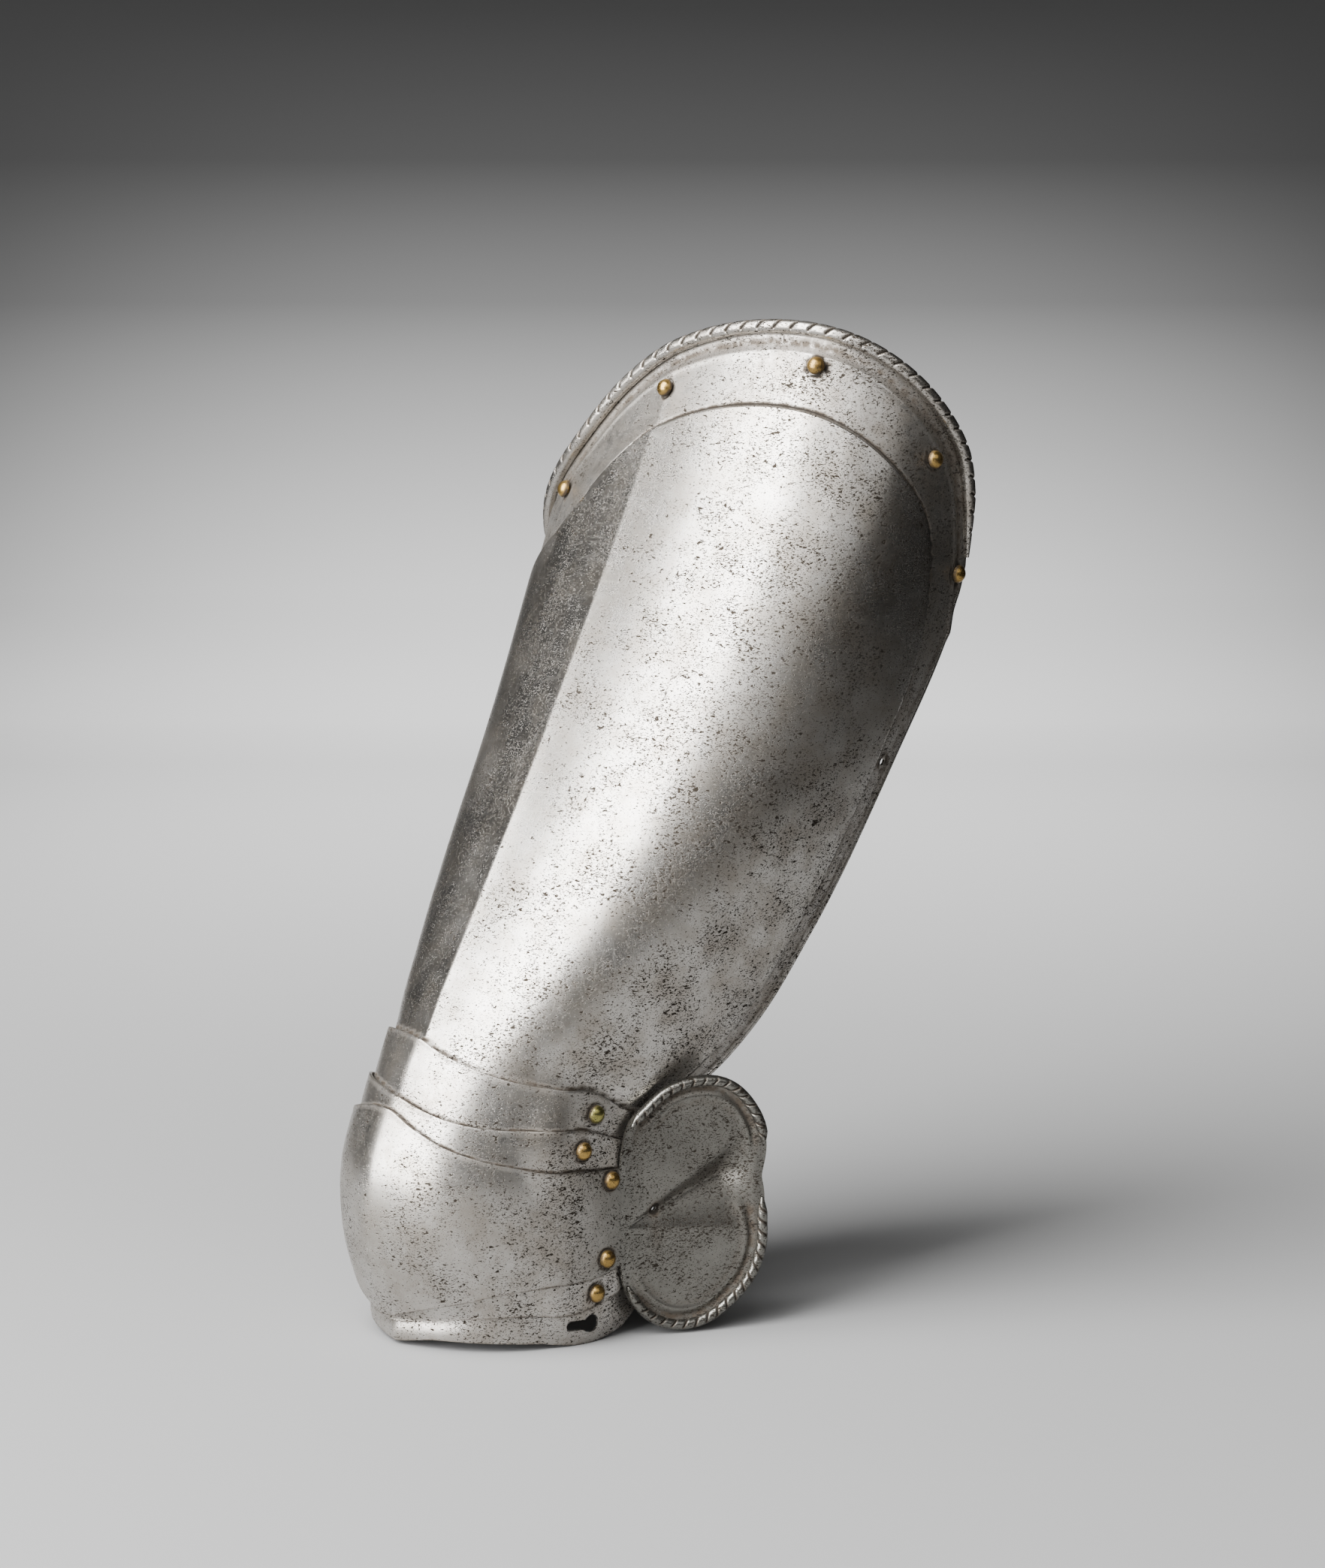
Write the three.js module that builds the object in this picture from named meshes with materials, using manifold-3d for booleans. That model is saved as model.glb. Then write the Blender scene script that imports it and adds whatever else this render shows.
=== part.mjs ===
// Left cuisse with poleyn: the steel defence of a thigh and knee, about 1550.
// A ridged thigh plate with a sunken border and a roped edge, two lames, a knee
// cop with a heart-shaped side wing, two lower lames, and domed rivets.
// Millimetres, +Z up. The front of the leg faces -Y and its outer side +X.
import * as THREE from "three";
import { mergeVertices } from "three/addons/utils/BufferGeometryUtils.js";
import Module from "manifold-3d";

// Driving sizes
const PLATE = 1.2; // thickness of the sheet steel
const SIDE_GAP = 0.7; // between two plates beside the rivet they turn on
const FRONT_GAP = 1.8; // between the same two plates at the front of the knee
const KNEE_REACH = 93; // knee centre to the front of the cop
const KNEE_WIDTH = 115; // over the innermost plate at the rivets
const THIGH_LENGTH = 360; // knee end to the highest point of the thigh plate
const THIGH_WIDTH = 200; // over the thigh plate near its upper end
const THIGH_FRONT = 69; // thigh axis to the ridge
const LEAN = 28; // thigh axis from the vertical, degrees
const RIDGE = 5; // height of the keel at the knee
const ROUNDNESS = 2.3; // 2 is an ellipse, more is squarer
const RIDGE_SPREAD = 0.2; // how fast the keel fades, in quarter turns
const WING_REACH = 62; // root of the side wing straight back to its rear edge
const WING_HEIGHT = 118; // lowest to highest point of the wing
const WING_FLARE = 28; // how far its rear edge stands off the side of the knee

const TUCK = 1.1; // how far the thigh plate is drawn in under the first lame
const LAME_TUCK = 1.5; // how far a lame's hidden edge is drawn in at the front

// Border of the thigh plate
const BORDER_WIDTH = 38; // upper edge to the step
const REAR_BORDER = 15; // rear edge to the step
const BORDER_SINK = 1.8; // how far the border lies below the panel
const STEP_WIDTH = 3; // breadth of the step itself
const ROPE_RADIUS = 3.2; // turned and roped upper edge
const ROPE_PITCH = 8.4; // one rope cut to the next
const ROPE_CUT = 0.24; // depth of a rope cut, a share of the radius
const ROLL_RADIUS = 1.4; // plain rolled rear edges
const WING_ROPE_RADIUS = 2.4;
const WING_ROPE_PITCH = 5.4;

// Rivets and holes
const HEAD_RADIUS = 4.2;
const HEAD_HEIGHT = 2.7;
const SHANK_RADIUS = 1.7;
const SHANK_CLEARANCE = 0.3; // round a shank and under both its ends
const LINING_GRIP = 3.2; // plate and leather that a lining rivet once held
const BURR_RADIUS = 2.9; // hammered inner end of a rivet
const BURR_HEIGHT = 0.9;
const STRAP_HOLE_RADIUS = 2;
const WING_HOLE_RADIUS = 2.2;
const KEYHOLE_RADIUS = 3.2;
const KEYHOLE_SLOT = 2.6; // width of the keyhole's slot
const KEYHOLE_LENGTH = 11;

// Sections across the leg, from the shin to the hip. "at" counts STEP lengths
// along the ridge. Each section lies in a plane whose front is raised by tilt,
// a share of LEAN. back, up and front are shares of KNEE_REACH, outer and inner
// are shares of half of KNEE_WIDTH and keel is a share of RIDGE.
const KNEE_SECTIONS = [
  { at: -3, tilt: 0.2, back: -0.01, up: -0.83, front: 0.62, outer: 0.94, inner: 0.94, keel: 1 },
  { at: -2, tilt: 0, back: 0, up: -0.625, front: 0.69, outer: 0.95, inner: 0.95, keel: 1.1 },
  { at: -1, tilt: -0.3, back: 0.03, up: -0.4, front: 0.79, outer: 0.98, inner: 0.98, keel: 1.2 },
  { at: 0, tilt: -0.54, back: 0.05, up: -0.18, front: 0.825, outer: 1, inner: 1, keel: 1.2 },
  { at: 1.75, tilt: 0, back: 0.03, up: -0.02, front: 0.88, outer: 1, inner: 1, keel: 1.1 },
  { at: 3.1, tilt: 0.43, back: 0.03, up: 0.11, front: 0.9, outer: 1, inner: 1, keel: 1.1 },
  { at: 4.2, tilt: 0.71, back: 0.04, up: 0.24, front: 0.858, outer: 1, inner: 1, keel: 1 },
];
// Thigh sections lie across the thigh axis. along is a share of THIGH_LENGTH,
// front of THIGH_FRONT, and outer and inner of half of THIGH_WIDTH.
const THIGH_SECTIONS = [
  { along: 0, front: 1, outer: 0.585, inner: 0.585, keel: 1 },
  { along: 0.24, front: 0.97, outer: 0.87, inner: 0.75, keel: 0.8 },
  { along: 0.455, front: 0.955, outer: 1.03, inner: 0.83, keel: 0.6 },
  { along: 0.755, front: 0.985, outer: 1.13, inner: 0.97, keel: 0.35 },
  { along: 1.03, front: 1.08, outer: 1.06, inner: 1.04, keel: 0.2 },
];
const STEP = (THIGH_LENGTH * 11) / 180;
const THIGH_ROOT = { at: 5.7, back: 0.032, up: 0.505 }; // back and up: shares of KNEE_REACH
const REAR_AXIS = 1.88; // rear half-axis of a section, in half knee widths

const kneeHalf = KNEE_WIDTH / 2;
const lean = THREE.MathUtils.degToRad(LEAN);
const thighDirection = new THREE.Vector3(0, Math.sin(lean), Math.cos(lean));
const thighRoot = new THREE.Vector3(0, THIGH_ROOT.back, THIGH_ROOT.up).multiplyScalar(KNEE_REACH);
const kneeRows = KNEE_SECTIONS.map((s) => ({
  at: s.at,
  tilt: lean * s.tilt,
  y: KNEE_REACH * s.back,
  z: KNEE_REACH * s.up,
  front: KNEE_REACH * s.front,
  outer: kneeHalf * s.outer,
  inner: kneeHalf * s.inner,
  keel: RIDGE * s.keel,
}));
const thighRows = THIGH_SECTIONS.map((s) => ({
  at: THIGH_ROOT.at + (THIGH_LENGTH * s.along) / STEP,
  tilt: lean,
  y: thighRoot.y + THIGH_LENGTH * s.along * thighDirection.y,
  z: thighRoot.z + THIGH_LENGTH * s.along * thighDirection.z,
  front: THIGH_FRONT * s.front,
  outer: (THIGH_WIDTH / 2) * s.outer,
  inner: (THIGH_WIDTH / 2) * s.inner,
  keel: RIDGE * s.keel,
}));
const rows = [...kneeRows, ...thighRows];

// Rivets that the plates turn on, as shares of KNEE_REACH from the knee centre.
const PIVOTS = {
  pivot_1: { back: -0.071, up: 0.57 },
  pivot_2: { back: -0.172, up: 0.409 },
  pivot_3: { back: -0.009, up: 0.242 },
  pivot_4: { back: -0.038, up: -0.143 },
  pivot_5: { back: -0.091, up: -0.308 },
};
const pivots = Object.entries(PIVOTS).map(([name, p]) => ({
  name,
  y: KNEE_REACH * p.back,
  z: KNEE_REACH * p.up,
}));
const FLAT_RADIUS = 10; // round each rivet the plate is hammered flat
const FLAT_FADE = 18;

// Smooth curve through the rows of a table: one column against another.
function curve(table, xKey, key, x) {
  const last = table.length - 1;
  let i = 0;
  while (i < last - 1 && x > table[i + 1][xKey]) i++;
  const slope = (j) => {
    const a = table[Math.max(j - 1, 0)];
    const b = table[Math.min(j + 1, last)];
    return (b[key] - a[key]) / (b[xKey] - a[xKey]);
  };
  const span = table[i + 1][xKey] - table[i][xKey];
  const t = (x - table[i][xKey]) / span;
  if (t < 0) return table[0][key] + slope(0) * (x - table[0][xKey]);
  if (t > 1) return table[last][key] + slope(last) * (x - table[last][xKey]);
  const t2 = t * t;
  const t3 = t2 * t;
  return (
    (2 * t3 - 3 * t2 + 1) * table[i][key] +
    (t3 - 2 * t2 + t) * span * slope(i) +
    (3 * t2 - 2 * t3) * table[i + 1][key] +
    (t3 - t2) * span * slope(i + 1)
  );
}

// Share by which a place on the side is hammered flat for the rivets.
function flatness(y, z) {
  let near = Infinity;
  for (let i = 0; i < pivots.length - 1; i++) {
    const a = pivots[i];
    const b = pivots[i + 1];
    const length2 = (b.y - a.y) ** 2 + (b.z - a.z) ** 2;
    const t = ((y - a.y) * (b.y - a.y) + (z - a.z) * (b.z - a.z)) / length2;
    const s = THREE.MathUtils.clamp(t, 0, 1);
    near = Math.min(near, Math.hypot(y - a.y - s * (b.y - a.y), z - a.z - s * (b.z - a.z)));
  }
  return 1 - THREE.MathUtils.smoothstep(near, FLAT_RADIUS, FLAT_RADIUS + FLAT_FADE);
}

// Point of the leg's surface: turn is counted from the ridge in quarter turns,
// positive on the outer side, and at is the section.
function legPoint(turn, at) {
  const value = (key) => curve(rows, "at", key, at);
  const angle = (turn * Math.PI) / 2;
  const sine = Math.abs(Math.sin(angle));
  const cosine = Math.cos(angle);
  const keel = value("keel");
  const side = value(turn > 0 ? "outer" : "inner");
  const reach = cosine > 0 ? value("front") - keel : REAR_AXIS * kneeHalf;
  const across = (sine / side) ** ROUNDNESS;
  const ahead = (Math.abs(cosine) / reach) ** ROUNDNESS;
  const radius = (across + ahead) ** (-1 / ROUNDNESS);
  const forward = radius * cosine + keel * Math.exp(-Math.abs(turn) / RIDGE_SPREAD);
  const tilt = value("tilt");
  const y = value("y") - forward * Math.cos(tilt);
  const z = value("z") + forward * Math.sin(tilt);
  const flat = Math.abs(turn) > 0.5 ? flatness(y, z) : 0;
  const x = THREE.MathUtils.lerp(radius * sine, kneeHalf, flat);
  return new THREE.Vector3(x * Math.sign(turn), y, z);
}

function legNormal(turn, at) {
  const d = 0.012;
  const across = legPoint(turn + d, at).sub(legPoint(turn - d, at));
  const up = legPoint(turn, at + d).sub(legPoint(turn, at - d));
  return across.cross(up).normalize();
}

// Height of a plate's inner face above the leg's surface, by its layer.
function layerHeight(layer, turn) {
  const ahead = Math.max(Math.cos((turn * Math.PI) / 2), 0);
  const gap = THREE.MathUtils.lerp(SIDE_GAP, FRONT_GAP, ahead ** 3);
  return layer * (PLATE + gap);
}

const kernel = await Module();
kernel.setup();
const { Manifold, Mesh } = kernel;

function toManifold(geometry) {
  const bare = new THREE.BufferGeometry();
  bare.setAttribute("position", geometry.getAttribute("position").clone());
  if (geometry.index) bare.setIndex(geometry.index.clone());
  const merged = mergeVertices(bare, 1e-4);
  const vertProperties = new Float32Array(merged.getAttribute("position").array);
  const triVerts = new Uint32Array(merged.index.array);
  return new Manifold(new Mesh({ numProp: 3, vertProperties, triVerts }));
}

function toGeometry(solid) {
  const mesh = solid.getMesh();
  const geometry = new THREE.BufferGeometry();
  geometry.setAttribute("position", new THREE.BufferAttribute(mesh.vertProperties, 3));
  geometry.setIndex(new THREE.BufferAttribute(mesh.triVerts, 1));
  geometry.computeVertexNormals();
  return geometry;
}

// Closed sheet between an outer and an inner grid of points. The grids are
// lists of columns, and across x up gives the outer side.
function sheet(outer, inner) {
  const columns = outer.length;
  const count = outer[0].length;
  const positions = [...outer.flat(), ...inner.flat()].flatMap((p) => [p.x, p.y, p.z]);
  const top = (i, j) => i * count + j;
  const bottom = (i, j) => columns * count + i * count + j;
  const index = [];
  const quad = (a, b, c, d) => index.push(a, b, c, a, c, d);
  for (let i = 0; i < columns - 1; i++) {
    for (let j = 0; j < count - 1; j++) {
      quad(top(i, j), top(i + 1, j), top(i + 1, j + 1), top(i, j + 1));
      quad(bottom(i, j), bottom(i, j + 1), bottom(i + 1, j + 1), bottom(i + 1, j));
    }
    const j = count - 1;
    quad(bottom(i, 0), bottom(i + 1, 0), top(i + 1, 0), top(i, 0));
    quad(top(i, j), top(i + 1, j), bottom(i + 1, j), bottom(i, j));
  }
  for (let j = 0; j < count - 1; j++) {
    const i = columns - 1;
    quad(bottom(0, j + 1), bottom(0, j), top(0, j), top(0, j + 1));
    quad(top(i, j), bottom(i, j), bottom(i, j + 1), top(i, j + 1));
  }
  const geometry = new THREE.BufferGeometry();
  geometry.setAttribute("position", new THREE.Float32BufferAttribute(positions, 3));
  geometry.setIndex(index);
  return toManifold(geometry);
}

// Round bead along a line of places, each with a point and two directions
// across the line. radius may change with the distance run and the angle.
function bead(places, sides, radius) {
  const positions = [];
  let run = 0;
  places.forEach((place, i) => {
    if (i > 0) run += place.point.distanceTo(places[i - 1].point);
    for (let k = 0; k < sides; k++) {
      const angle = (2 * Math.PI * k) / sides;
      const r = radius(run, angle, i / (places.length - 1));
      const p = place.point
        .clone()
        .addScaledVector(place.out, r * Math.sin(angle))
        .addScaledVector(place.beyond, r * Math.cos(angle));
      positions.push(p.x, p.y, p.z);
    }
  });
  for (const end of [places[0], places.at(-1)]) {
    positions.push(end.point.x, end.point.y, end.point.z);
  }
  const index = [];
  const at = (i, k) => i * sides + (k % sides);
  const caps = places.length * sides;
  for (let k = 0; k < sides; k++) {
    for (let i = 0; i < places.length - 1; i++) {
      index.push(at(i, k), at(i, k + 1), at(i + 1, k + 1));
      index.push(at(i, k), at(i + 1, k + 1), at(i + 1, k));
    }
    index.push(caps, at(0, k + 1), at(0, k));
    index.push(caps + 1, at(places.length - 1, k), at(places.length - 1, k + 1));
  }
  const geometry = new THREE.BufferGeometry();
  geometry.setAttribute("position", new THREE.Float32BufferAttribute(positions, 3));
  geometry.setIndex(index);
  const solid = toManifold(geometry);
  return solid;
}

// Radius of a bead with rope cuts filed across it at a slant.
function ropeRadius(radius, pitch, span) {
  return (run, angle, share) => {
    const phase = run / pitch + angle / (2 * Math.PI);
    const cut = Math.max(0, Math.cos(2 * Math.PI * phase)) ** 2;
    const fade = THREE.MathUtils.smoothstep(Math.min(share, 1 - share), 0, span);
    return radius * (1 - ROPE_CUT * cut * fade);
  };
}

const cylinder = (radius, from, direction, length) => {
  const geometry = new THREE.CylinderGeometry(radius, radius, length, 8);
  const turn = new THREE.Quaternion().setFromUnitVectors(new THREE.Vector3(0, 1, 0), direction);
  geometry.applyQuaternion(turn);
  const middle = from.clone().addScaledVector(direction, length / 2);
  geometry.translate(middle.x, middle.y, middle.z);
  return toManifold(geometry);
};

// Outlines of the plates: the sections at which the low and high edges lie,
// against the turn from the ridge, from the inner rear to the outer rear.
const EDGES = {
  cuisse: [
    { turn: -1.3, low: 5.9 },
    { turn: -0.9, low: 5.3 },
    { turn: -0.3, low: 4.95 },
    { turn: 0, low: 5.1 },
    { turn: 0.3, low: 4.95 },
    { turn: 0.9, low: 5.3 },
    { turn: 1.3, low: 5.9 },
  ],
  upper_lame_1: [
    { turn: -1.06, low: 4.75, high: 6.16 },
    { turn: -0.82, low: 4.35, high: 6.2 },
    { turn: -0.45, low: 4.1, high: 6.18 },
    { turn: -0.2, low: 3.98, high: 6.08 },
    { turn: 0, low: 3.98, high: 5.95 },
    { turn: 0.13, low: 3.85, high: 5.78 },
    { turn: 0.26, low: 3.75, high: 5.69 },
    { turn: 0.43, low: 3.85, high: 5.69 },
    { turn: 0.66, low: 4.2, high: 5.9 },
    { turn: 0.82, low: 4.35, high: 6.15 },
    { turn: 1.06, low: 4.75, high: 6.16 },
  ],
  upper_lame_2: [
    { turn: -1.08, low: 3.6, high: 5.45 },
    { turn: -0.8, low: 3.4, high: 5.35 },
    { turn: -0.38, low: 3.35, high: 5.14 },
    { turn: -0.18, low: 3.35, high: 4.92 },
    { turn: 0, low: 3.5, high: 4.71 },
    { turn: 0.13, low: 3.3, high: 4.54 },
    { turn: 0.26, low: 3.1, high: 4.47 },
    { turn: 0.4, low: 3, high: 4.57 },
    { turn: 0.6, low: 3.2, high: 4.88 },
    { turn: 0.8, low: 3.4, high: 5.25 },
    { turn: 1.08, low: 3.6, high: 5.45 },
  ],
  poleyn: [
    { turn: -1.05, low: -0.13, high: 4.6 },
    { turn: -0.86, low: -0.06, high: 4.35 },
    { turn: -0.55, low: 0.4, high: 4.28 },
    { turn: -0.26, low: 0.46, high: 4.32 },
    { turn: 0, low: 0.12, high: 4.4 },
    { turn: 0.13, low: 0.33, high: 4.11 },
    { turn: 0.26, low: 0.46, high: 3.87 },
    { turn: 0.45, low: 0.52, high: 3.81 },
    { turn: 0.65, low: 0.25, high: 4.02 },
    { turn: 0.86, low: -0.06, high: 4.28 },
    { turn: 1.05, low: -0.13, high: 4.6 },
  ],
  lower_lame_1: [
    { turn: -1.1, low: -0.7, high: 1 },
    { turn: -0.8, low: -0.78, high: 1.25 },
    { turn: -0.32, low: -0.2, high: 1.35 },
    { turn: 0, low: -0.4, high: 0.95 },
    { turn: 0.17, low: -0.18, high: 1.2 },
    { turn: 0.32, low: -0.2, high: 1.35 },
    { turn: 0.5, low: -0.42, high: 1.35 },
    { turn: 0.8, low: -0.78, high: 1.25 },
    { turn: 1.1, low: -0.7, high: 1 },
  ],
  lower_lame_2: [
    { turn: -1.2, low: -1.49, high: -0.35 },
    { turn: -0.88, low: -1.66, high: -0.1 },
    { turn: -0.33, low: -1.09, high: 0.5 },
    { turn: 0, low: -1.12, high: 0.4 },
    { turn: 0.17, low: -0.99, high: 0.6 },
    { turn: 0.33, low: -1.09, high: 0.5 },
    { turn: 0.6, low: -1.4, high: 0.15 },
    { turn: 0.88, low: -1.66, high: -0.1 },
    { turn: 1.2, low: -1.49, high: -0.35 },
  ],
};
const LAYERS = {
  cuisse: 0,
  upper_lame_1: 1,
  upper_lame_2: 2,
  poleyn: 3,
  lower_lame_1: 2,
  lower_lame_2: 1,
};
const edge = (name, side, turn) => curve(EDGES[name], "turn", side, turn);

const LAME_TURNS = [0, 0.06, 0.15, 0.28, 0.42, 0.54, 0.64, 0.73, 0.82, 0.92];
const mirrored = (turns) => [...turns.slice(1).map((t) => -t).reverse(), ...turns];

// Place on a plate, raised above its inner face.
function platePoint(layer, turn, at, raise) {
  const height = layerHeight(layer, turn) + raise;
  return legPoint(turn, at).addScaledVector(legNormal(turn, at), height);
}

// Edge of a plate that another plate covers.
const HIDDEN_EDGES = {
  upper_lame_1: "low",
  upper_lame_2: "low",
  lower_lame_1: "high",
  lower_lame_2: "high",
};

// t runs from a plate's low edge to its high one.
function lameTuck(name, turn, t) {
  const toHidden = { low: 1 - t, high: t }[HIDDEN_EDGES[name]] ?? 0;
  const ahead = Math.max(Math.cos((turn * Math.PI) / 2), 0);
  return LAME_TUCK * THREE.MathUtils.smoothstep(toHidden, 0.45, 1) * ahead ** 2;
}

// Narrow plate with rounded ends, bent round the knee.
function bandPlate(name, steps) {
  const end = EDGES[name].at(-1).turn;
  const turns = mirrored([...LAME_TURNS, end]);
  const layer = LAYERS[name];
  const grid = (raise) =>
    turns.map((turn) =>
      Array.from({ length: steps + 1 }, (_, j) => {
        const t = j / steps;
        const rounding = 0.08 * Math.abs(2 * t - 1) ** 4 * Math.abs(turn / end) ** 8;
        const q = turn * (1 - rounding);
        const at = THREE.MathUtils.lerp(edge(name, "low", q), edge(name, "high", q), t);
        return platePoint(layer, q, at, raise - lameTuck(name, q, t));
      }),
    );
  return sheet(grid(PLATE), grid(0));
}

// Thigh plate. Its upper edge is an arch, highest towards the outer side.
const ARCH = [
  { turn: -1.3, at: 15.9 },
  { turn: -1, at: 17.2 },
  { turn: -0.75, at: 18.3 },
  { turn: -0.5, at: 19.4 },
  { turn: -0.25, at: 20.75 },
  { turn: 0, at: 21.6 },
  { turn: 0.4, at: 22.28 },
  { turn: 0.7, at: 22.38 },
  { turn: 0.99, at: 21.73 },
  { turn: 1.13, at: 20.98 },
  { turn: 1.3, at: 18.9 },
];
const REAR_EDGE = [
  { at: 5, turn: 1.12 },
  { at: 6.2, turn: 1.25 },
  { at: 8, turn: 1.36 },
  { at: 11, turn: 1.34 },
  { at: 15, turn: 1.3 },
  { at: 17.8, turn: 1.295 },
  { at: 20, turn: 1.24 },
];
const archAt = (turn) => curve(ARCH, "turn", "at", turn) - ROPE_RADIUS / STEP;
const rearTurn = (at) => curve(REAR_EDGE, "at", "turn", at);
const TURN_LENGTH = (Math.PI / 2) * THIGH_WIDTH * 0.55; // one quarter turn along the plate

// How far a place lies inside the border's step: 0 on the border, 1 inside.
function panelShare(turn, at) {
  const slope = ((archAt(turn + 0.05) - archAt(turn - 0.05)) * STEP) / (0.1 * TURN_LENGTH);
  const down = Math.max(((archAt(turn) - at) * STEP) / Math.hypot(1, slope), 0.01);
  const inward = Math.max((rearTurn(at) - Math.abs(turn)) * TURN_LENGTH, 0.01);
  const mean = ((BORDER_WIDTH / down) ** 4 + (REAR_BORDER / inward) ** 4) ** -0.25;
  const width = STEP_WIDTH / REAR_BORDER;
  return THREE.MathUtils.smoothstep(mean, 1 - width / 2, 1 + width / 2);
}

// The knee end is drawn in by TUCK where the first lame covers it.
function cuissePoint(turn, at, raise) {
  const tucked = TUCK * (1 - THREE.MathUtils.smoothstep(at, THIGH_ROOT.at + 0.2, THIGH_ROOT.at + 1.4));
  const lowered = BORDER_SINK * (1 - panelShare(turn, at)) + tucked;
  return platePoint(LAYERS.cuisse, turn, at, raise - lowered);
}

const FROM_TOP = [0, 0.37, 0.92, 1.05, 1.58]; // rows near the arch, in border widths
const FROM_REAR = [0, 0.33, 0.87, 1.13]; // columns near the rear edges, likewise
const PANEL_TURNS = [0, 0.06, 0.17, 0.32, 0.46, 0.58, 0.69, 0.79, 0.89];
const PANEL_ROWS = [0, 0.025, 0.05, 0.075, 0.13, 0.25, 0.42, 0.6, 0.8]; // shares, knee to border

function cuisseSheet() {
  const columns = [
    ...PANEL_TURNS.map((t) => (q) => t * q),
    ...FROM_REAR.toReversed().map((share) => (q, rear) => rear - (share * REAR_BORDER) / TURN_LENGTH),
  ];
  const inside = 1 + (FROM_REAR.at(-1) * REAR_BORDER) / TURN_LENGTH;
  const signed = [
    ...columns.slice(1).map((c) => [-1, c]).reverse(),
    ...columns.map((c) => [1, c]),
  ];
  const grid = (raise) =>
    signed.map(([sign, column]) => {
      const place = (rowAt) => {
        let at = rowAt(sign * column(1.28 / inside, 1.28));
        let turn = 0;
        for (let k = 0; k < 4; k++) {
          const rear = rearTurn(at);
          turn = sign * column(rear / inside, rear);
          at = rowAt(turn);
        }
        return cuissePoint(turn, at, raise);
      };
      const points = [];
      for (const share of PANEL_ROWS) {
        const rowAt = (turn) => {
          const top = archAt(turn) - (FROM_TOP.at(-1) * BORDER_WIDTH) / STEP;
          return THREE.MathUtils.lerp(edge("cuisse", "low", turn), top, share);
        };
        points.push(place(rowAt));
      }
      for (const share of FROM_TOP.toReversed()) {
        points.push(place((turn) => archAt(turn) - (share * BORDER_WIDTH) / STEP));
      }
      return points;
    });
  return sheet(grid(PLATE), grid(0));
}

// Places along an edge of the thigh plate, given as (turn, at) by a share 0..1.
function edgePlaces(line, count, lift) {
  const raw = Array.from({ length: count + 1 }, (_, i) => line(i / count));
  return raw.map(([turn, at], i) => {
    const [t0, a0] = raw[Math.max(i - 1, 0)];
    const [t1, a1] = raw[Math.min(i + 1, count)];
    const along = cuissePoint(t1, a1, 0).sub(cuissePoint(t0, a0, 0)).normalize();
    const out = legNormal(turn, at);
    const beyond = out.clone().cross(along).normalize();
    return { point: cuissePoint(turn, at, lift), out, beyond };
  });
}

// Sheet edges have no step, so the bead's line is spread evenly by its length.
function evenLine(line, samples) {
  const points = Array.from({ length: samples + 1 }, (_, i) => cuissePoint(...line(i / samples), 0));
  const runs = [0];
  for (let i = 1; i <= samples; i++) runs.push(runs[i - 1] + points[i].distanceTo(points[i - 1]));
  const length = runs.at(-1);
  const spread = (share) => {
    const target = share * length;
    let i = 1;
    while (i < samples && runs[i] < target) i++;
    const t = (target - runs[i - 1]) / (runs[i] - runs[i - 1]);
    return line((i - 1 + t) / samples);
  };
  return { spread, length };
}

function archBead() {
  const start = -rearTurn(archAt(-1.28));
  const end = rearTurn(archAt(1.28));
  const line = (share) => {
    const turn = THREE.MathUtils.lerp(start, end, share);
    return [turn, archAt(turn)];
  };
  const { spread, length } = evenLine(line, 80);
  const count = Math.round((length / ROPE_PITCH) * 2);
  const places = edgePlaces(spread, count, PLATE / 2 + ROPE_RADIUS * 0.7);
  return bead(places, 5, ropeRadius(ROPE_RADIUS, ROPE_PITCH, 0.04));
}

function rearBead(sign) {
  const top = archAt(sign * 1.28);
  const line = (share) => {
    const at = THREE.MathUtils.lerp(edge("cuisse", "low", 1.12) + 0.3, top, share);
    return [sign * rearTurn(at), at];
  };
  const places = edgePlaces(line, 12, PLATE / 2 + ROLL_RADIUS * 0.5);
  return bead(places, 5, () => ROLL_RADIUS);
}

// Side wing: heart-shaped. Polar outline about its middle: angle in degrees from
// straight back, reach as a share of half WING_HEIGHT, which its length back
// follows through WING_REACH.
const WING_OUTLINE = [
  { angle: -180, reach: 0.525 },
  { angle: -160, reach: 0.56 },
  { angle: -140, reach: 0.69 },
  { angle: -125, reach: 0.82 },
  { angle: -110, reach: 0.935 },
  { angle: -97, reach: 0.985 },
  { angle: -85, reach: 0.965 },
  { angle: -70, reach: 0.865 },
  { angle: -52, reach: 0.75 },
  { angle: -37, reach: 0.655 },
  { angle: -20, reach: 0.567 },
  { angle: -5, reach: 0.535 },
  { angle: 10, reach: 0.535 },
  { angle: 22, reach: 0.555 },
  { angle: 40, reach: 0.71 },
  { angle: 56, reach: 0.863 },
  { angle: 73, reach: 0.998 },
  { angle: 86, reach: 1.005 },
  { angle: 100, reach: 0.95 },
  { angle: 112, reach: 0.865 },
  { angle: 123, reach: 0.815 },
  { angle: 137, reach: 0.7 },
  { angle: 160, reach: 0.56 },
  { angle: 180, reach: 0.525 },
];
const WING_MIDDLE = { back: 0.484, up: 0.06 }; // shares of WING_REACH and WING_HEIGHT
const WING_BREADTH = 0.9516; // WING_REACH times this is one reach straight back
const WING_SEAT = 0.4; // the wing's root is fused this far proud of the cop
const wingMiddle = {
  back: WING_REACH * WING_MIDDLE.back,
  up: WING_HEIGHT * WING_MIDDLE.up,
};
const copInside = kneeHalf + LAYERS.poleyn * (PLATE + SIDE_GAP);
const wingRootY = KNEE_REACH * 0.07;

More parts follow.
